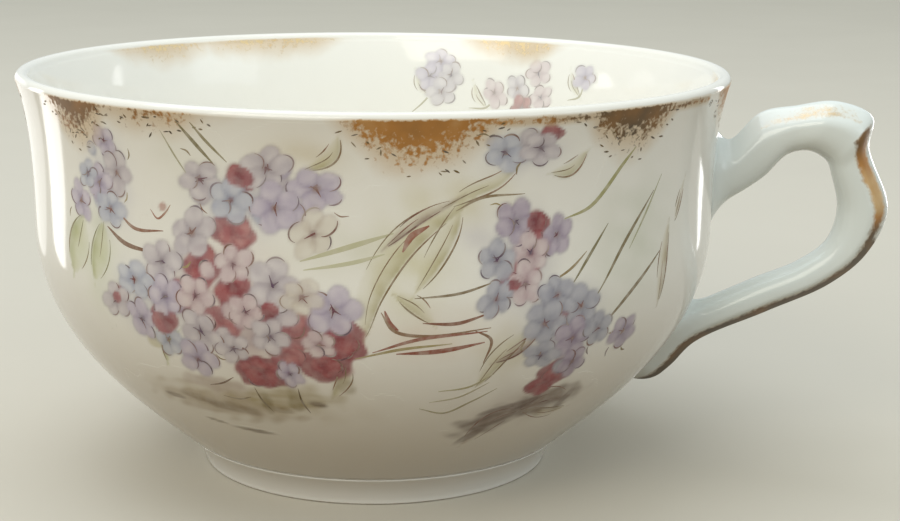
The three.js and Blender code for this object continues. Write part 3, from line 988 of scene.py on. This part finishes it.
def paint_leaf(film, points, width, tints, chance):
    """A blade washed in from one side, fading to the bare glaze on the other, with loose pen lines."""
    fill, dark, ink = (tint_of(code) for code in tints)
    rib = film.path(points, LEAF_STEPS)
    middle = rib.mean(axis=0)
    reach = np.abs(rib - middle).max() + width
    sideways, upwards = np.abs(film.right - middle[0]), np.abs(film.length - middle[1])
    chosen = np.flatnonzero((sideways < reach) & (upwards < reach))
    scale = film.wall.at(rib[:, 1])[0] / BELLY_RADIUS
    along = np.gradient(rib, axis=0) * np.stack((scale, np.ones_like(scale)), -1)
    along /= np.linalg.norm(along, axis=1)[:, None]
    half = width / 2 * np.sin(math.pi * (np.linspace(0, 0.97, LEAF_STEPS + 1) + 0.015)) ** 0.7
    x = (film.right[chosen, None] - rib[:, 0]) * film.scale[chosen, None]
    y = film.length[chosen, None] - rib[:, 1]
    nearest = np.argmin(np.hypot(x, y), axis=1)
    each = np.arange(len(chosen))
    x, y, turn, half_here = x[each, nearest], y[each, nearest], along[nearest], half[nearest]
    side = (turn[:, 0] * y - turn[:, 1] * x) / half_here
    past = np.abs(turn[:, 0] * x + turn[:, 1] * y)
    edge = (1 - np.abs(side)) * half_here + 0.4 * (cloud(x, y, 3.0, chance) - 0.5)
    cover = (0.85 - 0.6 * smooth_step(-0.6, 1.0, side)) * smooth_step(-0.15, 0.35, edge) * (past < 0.8)
    cover *= 0.55 + 0.45 * cloud(film.right[chosen], film.length[chosen], 3.2, chance)
    film.lay(chosen, cover, dark + (fill - dark) * smooth_step(-1.0, 0.2, side)[:, None])
    normal = np.stack((-along[:, 1] / scale, along[:, 0]), -1) * half[:, None]
    red = tint_of(LEAF_INK_END)
    for edge_side, begin, end, thick in LEAF_LINES:
        first = int((begin + chance.uniform(0, 0.15)) * LEAF_STEPS)
        last = int((end - chance.uniform(0, 0.2)) * LEAF_STEPS)
        part = (rib + edge_side * normal)[first:last + 1]
        film.line(part, tapered(thick, len(part)), ink, ink + (red - ink) * chance.uniform(0, 0.8))


def paint_stem(film, points, thick, tint):
    """A thin stem that swells and tapers like a brush stroke."""
    film.line(film.path(points, STEM_STEPS), tapered(thick, STEM_STEPS + 1), tint_of(tint))


GROUND_WASHES = [  # right of the spray's middle, height, half width, half height, tint, strength
    (-38, 35, 6, 7, "#c3cda0", 0.55), (-34, 44, 5, 6, "#c9c8d8", 0.5), (-15, 43, 7, 4, "#c6c4cf", 0.7),
    (-28, 31, 7, 5, "#bdbecb", 0.65), (-17, 33, 8, 6, "#d3b3ac", 0.5), (-13, 25, 9, 5, "#c9b0ae", 0.5),
    (-18, 18, 14, 3.6, "#b09d6c", 0.6), (-3, 38, 8, 3, "#cfcfb4", 0.5), (4, 37, 5, 8, "#cfc890", 0.55),
    (10, 44, 7, 3.4, "#d2c798", 0.55), (17, 35, 4, 7, "#bdbbc8", 0.6), (24, 28, 6, 5, "#b7b5c4", 0.6),
    (22, 17, 8, 4, "#a8958a", 0.6), (34, 37, 8, 9, "#bcc3a8", 0.5), (7, 28, 8, 4, "#dcc0a4", 0.45),
    (12, 40, 3, 3, "#c9c4cc", 0.5), (17, 49, 5, 3, "#bcbac8", 0.6), (-8, 49, 6, 3, "#cfc09a", 0.6),
    (16, 25, 4, 4, "#c6b98c", 0.5), (-22, 47, 5, 4, "#cfcfb8", 0.4),
    (-20, 33, 8, 5, "#a8929a", 0.8), (-13, 28, 8, 5, "#a88f94", 0.8), (-27, 29.5, 6, 4, "#a5a0ae", 0.7),
    (-14, 43.5, 6, 3.4, "#aaa3b0", 0.7), (18, 37, 3.6, 5, "#a49ca8", 0.7), (23, 28, 5, 4.6, "#a09aa6", 0.7),
    (-35, 43, 3.6, 5, "#b3b1c2", 0.6), (17, 49, 4, 2, "#aaa8b6", 0.6),
]
SPRAY_BLOSSOMS = [  # right of the middle, height, size across, tint
    (-34.2, 48.8, 4.6, "lilac"), (-32.6, 45.2, 5.4, "grey"), (-36.0, 43.6, 4.8, "lilac"),
    (-34.2, 40.6, 5.4, "blue"), (-40.2, 40.8, 5.4, "lilac"), (-38.2, 44.4, 4.2, "blue"),
    (-20.4, 45.6, 5.6, "grey"), (-12.2, 47.4, 6.4, "grey"), (-6.6, 45.2, 6.6, "lilac"),
    (-11.4, 42.8, 6.2, "lilac"), (-16.6, 43.4, 5.8, "blue"), (-7.0, 40.0, 6.6, "cream"),
    (-21.8, 39.2, 6.8, "grey"), (-16.6, 36.0, 5.2, "pink"), (-26.2, 35.4, 5.8, "grey"),
    (-30.6, 32.6, 6.2, "blue"), (-34.4, 29.4, 5.4, "grey"), (-30.2, 27.8, 6.0, "lilac"),
    (-26.0, 31.2, 5.8, "lilac"), (-21.6, 31.8, 5.2, "pink"), (-11.8, 33.8, 6.8, "grey"),
    (-4.8, 31.2, 6.4, "lilac"), (-8.4, 32.6, 5.2, "cream"), (-15.2, 30.4, 4.6, "pink"),
    (-12.4, 27.6, 5.0, "grey"), (-6.6, 26.9, 4.4, "pink"), (-21.4, 27.4, 6.2, "grey"),
    (-17.4, 25.6, 4.8, "grey"), (-22.8, 23.6, 6.0, "lilac"), (-10.6, 22.8, 4.2, "lilac"),
    (-26.6, 25.6, 4.6, "blue"), (16.2, 41.0, 5.4, "mauve"), (21.6, 39.0, 5.2, "mauve"),
    (18.2, 37.2, 5.4, "pink"), (14.0, 36.6, 5.2, "slate"), (17.6, 33.6, 5.4, "pink"),
    (14.0, 32.0, 5.2, "slate"), (22.0, 31.8, 5.6, "slate"), (25.6, 30.0, 5.8, "slate"),
    (20.6, 28.4, 6.0, "slate"), (25.2, 26.0, 6.0, "mauve"), (29.0, 26.6, 4.8, "slate"),
    (34.0, 25.4, 5.0, "mauve"), (21.0, 24.2, 5.4, "slate"), (26.4, 22.6, 4.8, "mauve"),
    (14.4, 49.2, 5.6, "blue"), (18.8, 49.4, 5.6, "grey"),
]
SPRAY_PATCHES = [  # right of the middle, height, half width, half height, tint
    (-15.0, 45.9, 1.9, 1.4, "crimson"), (-16.6, 39.6, 2.8, 2.3, "rose"), (-20.6, 35.4, 2.8, 2.6, "crimson"),
    (-16.4, 32.6, 2.6, 2.2, "crimson"), (-26.6, 28.2, 2.2, 1.9, "rose"), (-18.6, 28.8, 2.8, 2.0, "rose"),
    (-12.0, 30.6, 2.4, 1.8, "crimson"), (-9.4, 28.6, 2.6, 2.4, "rose"), (-3.8, 27.2, 2.8, 3.0, "crimson"),
    (-6.2, 24.2, 3.4, 2.4, "crimson"), (-14.2, 22.8, 3.6, 2.6, "crimson"), (-23.6, 31.4, 2.2, 2.0, "rose"),
    (-10.4, 25.2, 2.2, 1.8, "rose"), (19.0, 40.6, 1.8, 1.4, "crimson"), (19.0, 38.0, 2.0, 1.8, "rose"),
    (16.2, 33.8, 1.4, 1.4, "crimson"), (24.2, 21.4, 2.6, 2.2, "crimson"),
    (22.4, 19.7, 2.2, 1.4, "crimson"), (17.8, 35.6, 1.8, 1.6, "rose"),
    (20.0, 51.0, 1.7, 0.9, "crimson"), (23.2, 28.6, 1.4, 1.2, "rose"), (-33.0, 30.6, 1.0, 0.9, "rose"),
]
SPRAY_LEAVES = [  # points along the rib as (right of the middle, height), width, tints
    ([(-1.4, 28.0), (-0.6, 33.0), (2.6, 38.6), (6.4, 41.8), (10.6, 43.8)], 3.6, OLIVE),
    ([(4.4, 33.2), (6.4, 36.6), (8.4, 40.4), (9.6, 43.6)], 2.6, OLIVE),
    ([(7.4, 43.0), (10.6, 44.6), (14.0, 46.0), (17.0, 48.4)], 1.9, OLIVE),
    ([(1.0, 38.6), (4.4, 41.6), (9.4, 44.2)], 1.2, RUSSET),
    ([(2.4, 33.0), (4.6, 31.8), (6.6, 29.6)], 2.1, OLIVE),
    ([(12.8, 20.6), (15.2, 24.8), (19.2, 28.4)], 2.4, OLIVE),
    ([(14.6, 24.0), (17.4, 25.4), (20.2, 27.6)], 1.4, RUSSET),
    ([(-39.8, 39.0), (-41.4, 35.2), (-43.0, 31.4)], 4.6, PALE_GREEN),
    ([(-35.7, 38.9), (-36.6, 35.0), (-38.1, 31.2)], 3.6, PALE_GREEN),
    ([(21.0, 16.0), (17.6, 15.0), (14.4, 10.9)], 3.4, RUSSET),
    ([(20.8, 16.2), (24.4, 18.0), (28.8, 17.2)], 2.8, RUSSET),
    ([(30.4, 15.0), (26.4, 14.8), (21.4, 16.2)], 2.0, UMBER),
    ([(-3.6, 24.6), (-3.8, 22.4), (-5.6, 19.4)], 1.8, OLIVE),
    ([(-24.6, 27.0), (-27.0, 25.0), (-28.0, 22.4)], 1.4, PALE_GREEN),
    ([(40.2, 28.0), (40.0, 33.0), (41.0, 38.0)], 2.0, UMBER),
    ([(42.6, 38.0), (43.4, 40.2), (44.6, 43.0)], 1.2, UMBER),
    ([(-7.8, 47.4), (-5.0, 49.0), (-4.0, 51.4)], 1.8, OLIVE),
    ([(20.4, 46.4), (23.0, 46.8), (25.0, 48.6)], 1.8, OLIVE),
]
SPRAY_STEMS = [  # points along the stem, thickness, tint
    ([(4.4, 32.6), (9.6, 33.0), (14.0, 34.2)], 0.325, "#857358"),
    ([(5.4, 29.6), (9.4, 29.4), (13.2, 30.4)], 0.45, "#8a5c48"),
    ([(0.6, 31.0), (2.0, 28.8), (5.4, 28.0), (13.6, 28.6)], 0.425, "#8f6f52"),
    ([(2.4, 25.8), (7.6, 26.0), (13.0, 26.8)], 0.625, "#93523f"),
    ([(-0.4, 26.0), (5.0, 27.6), (13.2, 28.2)], 0.45, "#98604f"),
    ([(-2.4, 25.2), (3.0, 26.4), (9.0, 26.9)], 0.375, "#a89a6c"),
    ([(11.6, 28.4), (13.8, 27.0), (13.2, 24.0)], 0.375, "#8a6a50"),
    ([(24.0, 32.8), (26.4, 36.0), (29.2, 39.6)], 0.4, "#857d5c"),
    ([(28.0, 31.2), (32.2, 37.0), (37.2, 42.6)], 0.475, "#837655"),
    ([(29.4, 26.6), (33.8, 30.6), (39.2, 34.8)], 0.525, "#7d6c4c"),
    ([(21.0, 33.4), (23.8, 34.8), (26.0, 36.6)], 0.325, "#97835c"),
    ([(22.6, 40.8), (26.4, 42.0), (31.0, 46.6), (32.8, 48.4)], 0.525, "#a8a474"),
    ([(33.0, 36.0), (36.0, 40.2), (38.6, 44.4)], 0.3, "#a8a886"),
    ([(-22.6, 52.2), (-20.6, 49.8), (-18.4, 47.4)], 0.475, "#857c58"),
    ([(-20.8, 52.2), (-19.2, 50.2), (-16.8, 47.8)], 0.375, "#8e8560"),
    ([(-25.0, 51.0), (-23.6, 48.4), (-22.0, 46.0)], 0.225, "#b0ac92"),
    ([(-35.0, 38.4), (-32.0, 36.8), (-26.8, 36.2)], 0.575, "#84614c"),
    ([(-32.6, 40.2), (-30.2, 38.8), (-25.8, 39.0)], 0.425, "#956a56"),
    ([(-8.6, 36.8), (-3.0, 38.6), (2.0, 40.2)], 0.625, "#c6c4a4"),
    ([(-8.2, 35.8), (-2.6, 36.8), (1.0, 37.8)], 0.5, "#cbc9ac"),
    ([(17.2, 44.2), (12.0, 44.0), (9.0, 42.6)], 0.325, "#8f7b5c"),
    ([(3.0, 38.0), (4.0, 39.8), (6.0, 41.0)], 0.775, "#9a5f4a"),
    ([(1.0, 31.2), (1.6, 29.6), (2.6, 28.8)], 0.625, "#93523f"),
    ([(8.0, 20.4), (12.0, 20.8), (15.0, 22.4)], 0.3, "#b4ad8a"),
    ([(5.8, 17.9), (9.4, 17.0), (12.6, 18.4), (16.0, 20.2)], 0.325, "#aaa384"),
    ([(7.0, 18.8), (11.0, 19.4), (14.6, 21.2)], 0.25, "#b4ad90"),
    ([(-15.8, 20.4), (-15.3, 18.6), (-14.2, 16.8)], 0.25, "#75623a"),
    ([(-9.9, 20.8), (-9.7, 18.8), (-8.9, 17.1)], 0.25, "#6b5834"),
    ([(-22.4, 20.0), (-20.2, 20.6), (-18.4, 21.6)], 0.25, "#7b6350"),
    ([(-21.0, 18.6), (-18.6, 18.4), (-16.8, 18.9)], 0.25, "#7d6a4a"),
    ([(-27.6, 41.4), (-26.6, 40.4), (-25.4, 41.2), (-24.6, 42.2)], 0.25, "#a3705c"),
]
SPRAY_SMUDGES = [  # right of the middle, height, half length, half width, lean, tint, strength
    (-22.6, 17.2, 10.0, 2.8, -4, "#a8936f", 0.62), (-11.6, 19.2, 6.4, 2.4, 2, "#a5935a", 0.68),
    (-30.1, 17.1, 1.7, 0.5, -6, "#6f5636", 0.8), (-25.4, 17.6, 2.8, 0.8, -8, "#8d7653", 0.6),
    (-20.4, 16.9, 4.0, 1.1, -4, "#836c49", 0.65), (-25.4, 13.9, 1.7, 0.35, -14, "#77603f", 0.8),
    (-19.4, 13.1, 2.9, 0.4, -6, "#705838", 0.85), (-21.4, 20.2, 4.4, 1.6, -6, "#a38877", 0.6),
    (-14.8, 18.2, 0.9, 2.0, -6, "#86743c", 0.75), (-10.6, 18.8, 1.0, 2.2, 8, "#8b793f", 0.75),
    (-12.8, 17.2, 1.6, 0.6, -10, "#8a7448", 0.6), (-7.6, 18.5, 1.2, 0.6, -10, "#644a2e", 0.85),
    (-4.0, 21.6, 1.6, 1.6, 40, "#97865a", 0.6), (-28.9, 25.1, 1.4, 1.1, 0, "#b3a869", 0.6),
    (17.0, 15.0, 5.0, 2.5, 22, "#725d50", 0.88), (15.0, 12.6, 2.6, 0.8, 52, "#6d5548", 0.8),
    (25.4, 17.0, 5.2, 2.6, 10, "#7d695b", 0.85), (22.0, 17.2, 2.6, 0.7, 34, "#64493c", 0.8),
    (28.6, 16.6, 1.7, 0.7, 70, "#6d5548", 0.7), (18.6, 17.0, 3.6, 0.5, 16, "#6a5246", 0.75),
    (-25.7, 41.8, 0.6, 0.5, 40, "#a9614f", 0.75), (-20.1, 44.0, 1.0, 0.6, 0, "#ab666b", 0.7),
]
SPRAY_RED_PETALS = [  # right of the middle, height, half width, half height, tint
    (-15.2, 46.1, 1.7, 1.2, "rose"), (18.8, 40.7, 1.1, 1.3, "crimson"), (16.2, 33.6, 0.8, 0.8, "crimson"),
    (-26.9, 27.7, 1.8, 1.4, "rose"), (-34.1, 29.9, 0.9, 0.7, "rose"), (-12.3, 31.0, 1.1, 1.0, "crimson"),
    (-16.4, 33.1, 1.2, 0.8, "crimson"),
]
LOOSE_PETALS = 34
LOOSE_TICKS = 26
LOOSE_SIZE = 0.95
TICK_BENDS = ((0.5, 0.0), (0.62, 0.08), (0.72, 0.24))  # share of a flower's width out, and turn
TICK_WIDTHS = (0.14, 0.3)
TICK_TOP_GAP = 2
NEIGHBOUR = 7  # flowers closer than this share loose petals
WASH_FLOOR = 0.02
TICK_TINTS = ("#8c7a58", "#8a6450", "#7d6e78", "#a08c5c")


def paint_spray(film, chance):
    """The large spray: ground washes, then leaves and stems, the deep red flowers, and the pale ones."""
    for right, height, half_width, half_height, tint, amount in GROUND_WASHES:
        chosen, x, y = film.near(right, height, 1.9 * max(half_width, half_height))
        fade = np.exp(-1.4 * ((x / half_width) ** 2 + (y / half_height) ** 2))
        cover = amount * fade * (0.35 + 0.65 * cloud(x, y, 5.0, chance))
        film.lay(chosen, np.maximum(cover - WASH_FLOOR, 0.0), tint_of(tint))
    for points, width, tints in SPRAY_LEAVES:
        paint_leaf(film, points, width, tints, chance)
    for right, height, half_length, half_width, lean, tint, amount in SPRAY_SMUDGES:
        paint_smudge(film, (right, height), half_length, half_width, lean, tint, amount, chance)
    for points, thick, tint in SPRAY_STEMS:
        paint_stem(film, points, thick, tint)
    for _ in range(LOOSE_TICKS):
        right, height, size, _ = chance.choice(SPRAY_BLOSSOMS)
        turn = chance.uniform(0, math.tau)
        points = [(right + size * reach * math.cos(turn + bend),
                   height + size * reach * math.sin(turn + bend)) for reach, bend in TICK_BENDS]
        if points[-1][1] < CUP_HEIGHT - TICK_TOP_GAP:
            paint_stem(film, points, chance.uniform(*TICK_WIDTHS), chance.choice(TICK_TINTS))
    for right, height, half_width, half_height, tint in SPRAY_PATCHES:
        paint_patch(film, (right, height), half_width, half_height, tint, chance)
    for _ in range(LOOSE_PETALS):
        right, height, size, tint = chance.choice(SPRAY_BLOSSOMS)
        close = [(x, y) for x, y, _, _ in SPRAY_BLOSSOMS
                 if 0 < math.hypot(x - right, y - height) < NEIGHBOUR]
        beside = chance.choice(close)
        spot = ((right + beside[0]) / 2, (height + beside[1]) / 2)
        paint_petal(film, spot, size * LOOSE_SIZE, (chance.uniform(0, math.tau), 0.0, 1.0), tint, chance)
    for right, height, size, tint in SPRAY_BLOSSOMS:
        paint_blossom(film, (right, height), size, tint, chance)
    for right, height, half_width, half_height, tint in SPRAY_RED_PETALS:
        paint_red_petal(film, (right, height), half_width, half_height, tint, chance)


FLECKS = 22
FLECK_SPREAD, FLECK_REACH = 1.15, 2.4  # past a patch's ends as a share of it, and below it
FLECK_POINTS = 5
FLECK_TINTS = ("#4a3a26", "#5a4728", "#6e5930")


def paint_flecks(film, chance):
    """Dark flecks of thicker gold, strewn round the sponged patches on the film's half of the rim."""
    for centre, half_width, depth, _ in RIM_GOLD_OUTSIDE:
        away = (centre - math.degrees(film.middle) + 180) % 360 - 180
        if abs(away) > 90:
            continue
        for _ in range(FLECKS):
            share = chance.uniform(-FLECK_SPREAD, FLECK_SPREAD)
            edge = max(depth * (1 - share * share), 0.0)
            drop = chance.uniform(max(0.8 * edge, LINE_DROP), edge + FLECK_REACH)
            right = film.direction * math.radians(away + share * half_width) * BELLY_RADIUS
            reach, lean = chance.uniform(0.2, 0.45), chance.gauss(-0.2, 0.6)
            along = reach * np.linspace(-1, 1, FLECK_POINTS)
            fleck = film.about(right, CUP_HEIGHT - drop, np.outer(along, (math.cos(lean), math.sin(lean))))
            film.line(fleck, tapered(chance.uniform(0.14, 0.26), FLECK_POINTS),
                      tint_of(chance.choice(FLECK_TINTS)))


SPRAY_HALF_WIDTH, SPRAY_LOW, SPRAY_TOP_GAP = 50, 9.5, 1.2  # the films' reach on the wall
SPRIG_HALF_WIDTH, SPRIG_LOW, SPRIG_TOP_GAP = 12, 36, 1.4
SPRAY_SEED, SPRIG_SEED = 11, 31
INSIDE_STRENGTH = 0.65
INSIDE_SPRIGS = [  # angle of the sprig, its stem's lower end, flowers as (right, height, tint)
    (84, (-5.0, 41.0), [(0.4, 49.8, "lilac"), (-1.4, 47.4, "lilac"), (2.2, 47.6, "grey"),
                        (0.6, 45.0, "grey")]),
    (66, (-9.0, 42.6), [(-4.6, 45.2, "pink"), (-0.6, 46.2, "grey"), (3.0, 48.6, "pink"), (3.8, 45.0, "pink"),
                        (0.4, 43.0, "crimson")]),
    (51, (-3.0, 45.0), [(0.0, 48.7, "lilac")]),
    (-50, (-7.0, 39.0), [(0.0, 47.0, "lilac"), (3.4, 45.0, "pink"), (-2.6, 44.4, "grey")]),
    (-140, (6.0, 38.0), [(0.0, 46.0, "grey"), (-3.6, 44.6, "lilac"), (2.8, 43.6, "pink")]),
]


def paint_sprig(film, tail, flowers, chance):
    """A few small flowers on one stem with a leaf."""
    top = (flowers[0][0], flowers[0][1] - 1)
    bend = ((top[0] + tail[0]) / 2 + 0.8, (top[1] + tail[1]) / 2 - 0.6)
    paint_stem(film, [tail, bend, top], 0.3, SPRIG_STEM)
    leaf = [bend, (bend[0] - 1.6, bend[1] + 1.6), (bend[0] - 2.2, bend[1] + 3.6)]
    paint_leaf(film, leaf, 1.4, OLIVE, chance)
    for right, height, tint in flowers:
        paint_blossom(film, (right, height), chance.uniform(4.2, 5.2), tint, chance)


def make_decoration(glaze, enamel):
    """Both sprays outside and the small sprigs inside, as coats of wash and pieces of pen line."""
    pen = Pen()
    for seed, (side, middle, direction) in enumerate(SPRAY_MIDDLES):
        film = Film(outside, middle, direction, SPRAY_HALF_WIDTH, SPRAY_LOW, CUP_HEIGHT - SPRAY_TOP_GAP)
        chance = random.Random(SPRAY_SEED + seed)
        paint_spray(film, chance)
        paint_flecks(film, chance)
        film.ink(pen)
        dress(film.piece(f"enamel_wash_{side}"), "bowl_porcelain", glaze)
    dress(pen.piece("enamel_pen_lines_outside"), "bowl_porcelain", enamel)
    pen = Pen()
    coats = []
    for seed, (middle, tail, flowers) in enumerate(INSIDE_SPRIGS):
        film = Film(inside, middle, 1, SPRIG_HALF_WIDTH, SPRIG_LOW, CUP_HEIGHT - SPRIG_TOP_GAP)
        paint_sprig(film, tail, flowers, random.Random(SPRIG_SEED + seed))
        film.strength *= INSIDE_STRENGTH
        film.ink(pen, INSIDE_STRENGTH)
        coats.append(film.piece("enamel_wash_inside"))
    make_active(coats[0])
    for coat in coats:
        coat.select_set(True)
    bpy.ops.object.join()
    dress(coats[0], "bowl_porcelain", glaze)
    dress(pen.piece("enamel_pen_lines_inside"), "bowl_porcelain", enamel)


# Studio

FLOOR_WIDTH = 6
PAPER = ("#cfcabf", "#d4cfc4")
PAPER_BOUNCE = "#7f6b4b"
FILL_TINT, FILL_STRENGTH = "#e5ebe8", 0.81
AIM_HEIGHT = 0.03
SOFTBOXES = [  # name, place from the cup's axis in metres, width, height, power, tint
    ("overhead_softbox", (-0.20, 0.10, 0.80), 0.7, 0.7, 2.6, "#f3f8ff"),
    ("front_softbox", (-0.42, -0.90, 0.70), 0.8, 0.6, 4.7, "#fff8e6"),
    ("right_softbox", (0.85, -0.35, 0.40), 0.5, 0.5, 1.0, "#e4f0f6"),
]
GLAZED_PIECES = ("bowl_shell", "handle_cast", "foot_ring_turned", "enamel_wash_front", "enamel_wash_back")
GLINT_STRIPS = [  # as above, then the pieces that mirror it and whether it also lights them
    ("left_strip", (-0.123, 0.026, 0.040), 0.028, 0.080, 0.016, "#ffffff", GLAZED_PIECES, True),
    ("left_sheen", (-0.112, 0.075, 0.040), 0.060, 0.080, 0.008, "#ffffff", GLAZED_PIECES, True),
    ("right_strip", (0.112, 0.092, 0.045), 0.016, 0.088, 0.011, "#ffffff", GLAZED_PIECES, True),
    ("handle_strip", (0.188, 0.180, 0.050), 0.100, 0.120, 0.140, "#ffffff", ("handle_cast",), False),
]


def make_floor():
    deselect_all()
    bpy.ops.mesh.primitive_plane_add(size=FLOOR_WIDTH)
    floor = bpy.context.object
    floor.name = "studio_floor"
    floor.data.materials.append(studio_paper("seamless_paper", PAPER, PAPER_BOUNCE))


def add_softbox(name, from_axis, width, height, power, tint):
    """A soft area lamp, out of the camera's sight, aimed at the middle of the cup."""
    light = bpy.data.lights.new(name, "AREA")
    light.shape = "RECTANGLE"
    light.size, light.size_y = width, height
    light.energy = power
    light.color = linear(tint)[:3]
    lamp = bpy.data.objects.new(name, light)
    bpy.context.scene.collection.objects.link(lamp)
    out, back, up = from_axis
    lamp.location = (AXIS_X * MM + out, back, up)
    lamp.rotation_euler = Vector((-out, -back, AIM_HEIGHT - up)).to_track_quat("-Z", "Y").to_euler()
    lamp.visible_camera = False
    return lamp


def light_studio():
    """Plain soft light: a large box overhead, a warm one behind the camera, a cool one at the right, and
    an even fill."""
    for softbox in SOFTBOXES:
        add_softbox(*softbox)
    world = bpy.data.worlds.new("studio_fill")
    bpy.context.scene.world = world
    world.use_nodes = True
    background = world.node_tree.nodes["Background"]
    background.inputs["Color"].default_value = linear(FILL_TINT)
    background.inputs["Strength"].default_value = FILL_STRENGTH


def add_glints():
    """Low strips that only the porcelain mirrors, for the bright bands at the sides of the wall and the
    bright edge of the handle."""
    for *softbox, pieces, lights_them in GLINT_STRIPS:
        strip = add_softbox(*softbox)
        strip.data.shape = "ELLIPSE"
        mirrors = bpy.data.collections.new(f"{strip.name}_mirrors")
        for piece in pieces:
            mirrors.objects.link(bpy.data.objects[piece])
        strip.light_linking.receiver_collection = mirrors
        strip.visible_diffuse = lights_them


def aim_camera():
    """Stands the camera where the photograph was taken from, with its lens."""
    camera = bpy.data.cameras.new("photograph_camera")
    camera.sensor_fit = "HORIZONTAL"
    camera.sensor_width = SENSOR_WIDTH
    camera.lens = SENSOR_WIDTH * FOCAL_PIXELS / IMAGE_WIDTH
    camera.clip_start = 0.01
    holder = bpy.data.objects.new("photograph_camera", camera)
    bpy.context.scene.collection.objects.link(holder)
    azimuth, pitch, roll = (math.radians(angle) for angle in (CAMERA_AZIMUTH, CAMERA_PITCH, CAMERA_ROLL))
    heading = azimuth - math.radians(CAMERA_YAW)
    level = Vector((math.cos(heading), math.sin(heading), 0))
    forward = Vector((-math.sin(heading), math.cos(heading), 0)) * math.cos(pitch)
    forward.z = math.sin(pitch)
    upright = level.cross(forward)
    right = level * math.cos(roll) + upright * math.sin(roll)
    up = upright * math.cos(roll) - level * math.sin(roll)
    place = Vector((AXIS_X, 0, CAMERA_HEIGHT))
    place += Vector((math.sin(azimuth), -math.cos(azimuth), 0)) * CAMERA_DISTANCE
    turn = Matrix((right, up, -forward)).transposed().to_4x4()
    holder.matrix_world = Matrix.Translation(place * MM) @ turn
    bpy.context.scene.camera = holder


aim_camera()
light_studio()
make_floor()

RIM_SPONGING = (0.6, 2.0, 2.0, 3.4)  # wander, graininess, softness and spread of the gold
HANDLE_SPONGING = (0.2, 0.25, 0.5, 0.5)
FOOT_BODY = ("#f4f2eb", "#f7f5f0")
# the same porcelain as the bowl, given a cooler, darker tint as painted shade
HANDLE_BODY_COOL_SHADE = ("#e0e8e7", "#e9efee")
dress(make_bowl(), "bowl_porcelain", glazed_porcelain("porcelain_bowl_glaze", BODY, RIM_SPONGING), "bowl")
dress(make_foot(), "foot_porcelain",
      glazed_porcelain("porcelain_foot_glaze", FOOT_BODY, bare_land=True), "foot_ring")
dress(make_handle(), "handle_porcelain",
      glazed_porcelain("porcelain_handle_glaze_in_cool_shade", HANDLE_BODY_COOL_SHADE, HANDLE_SPONGING),
      "handle", "upper_slip_joint", "lower_slip_joint")
make_decoration(glazed_porcelain("porcelain_washed_glaze", BODY, RIM_SPONGING, washes=True),
                fired_enamel("fired_pen_enamel"))
add_glints()

bpy.context.scene.view_settings.view_transform = "Standard"
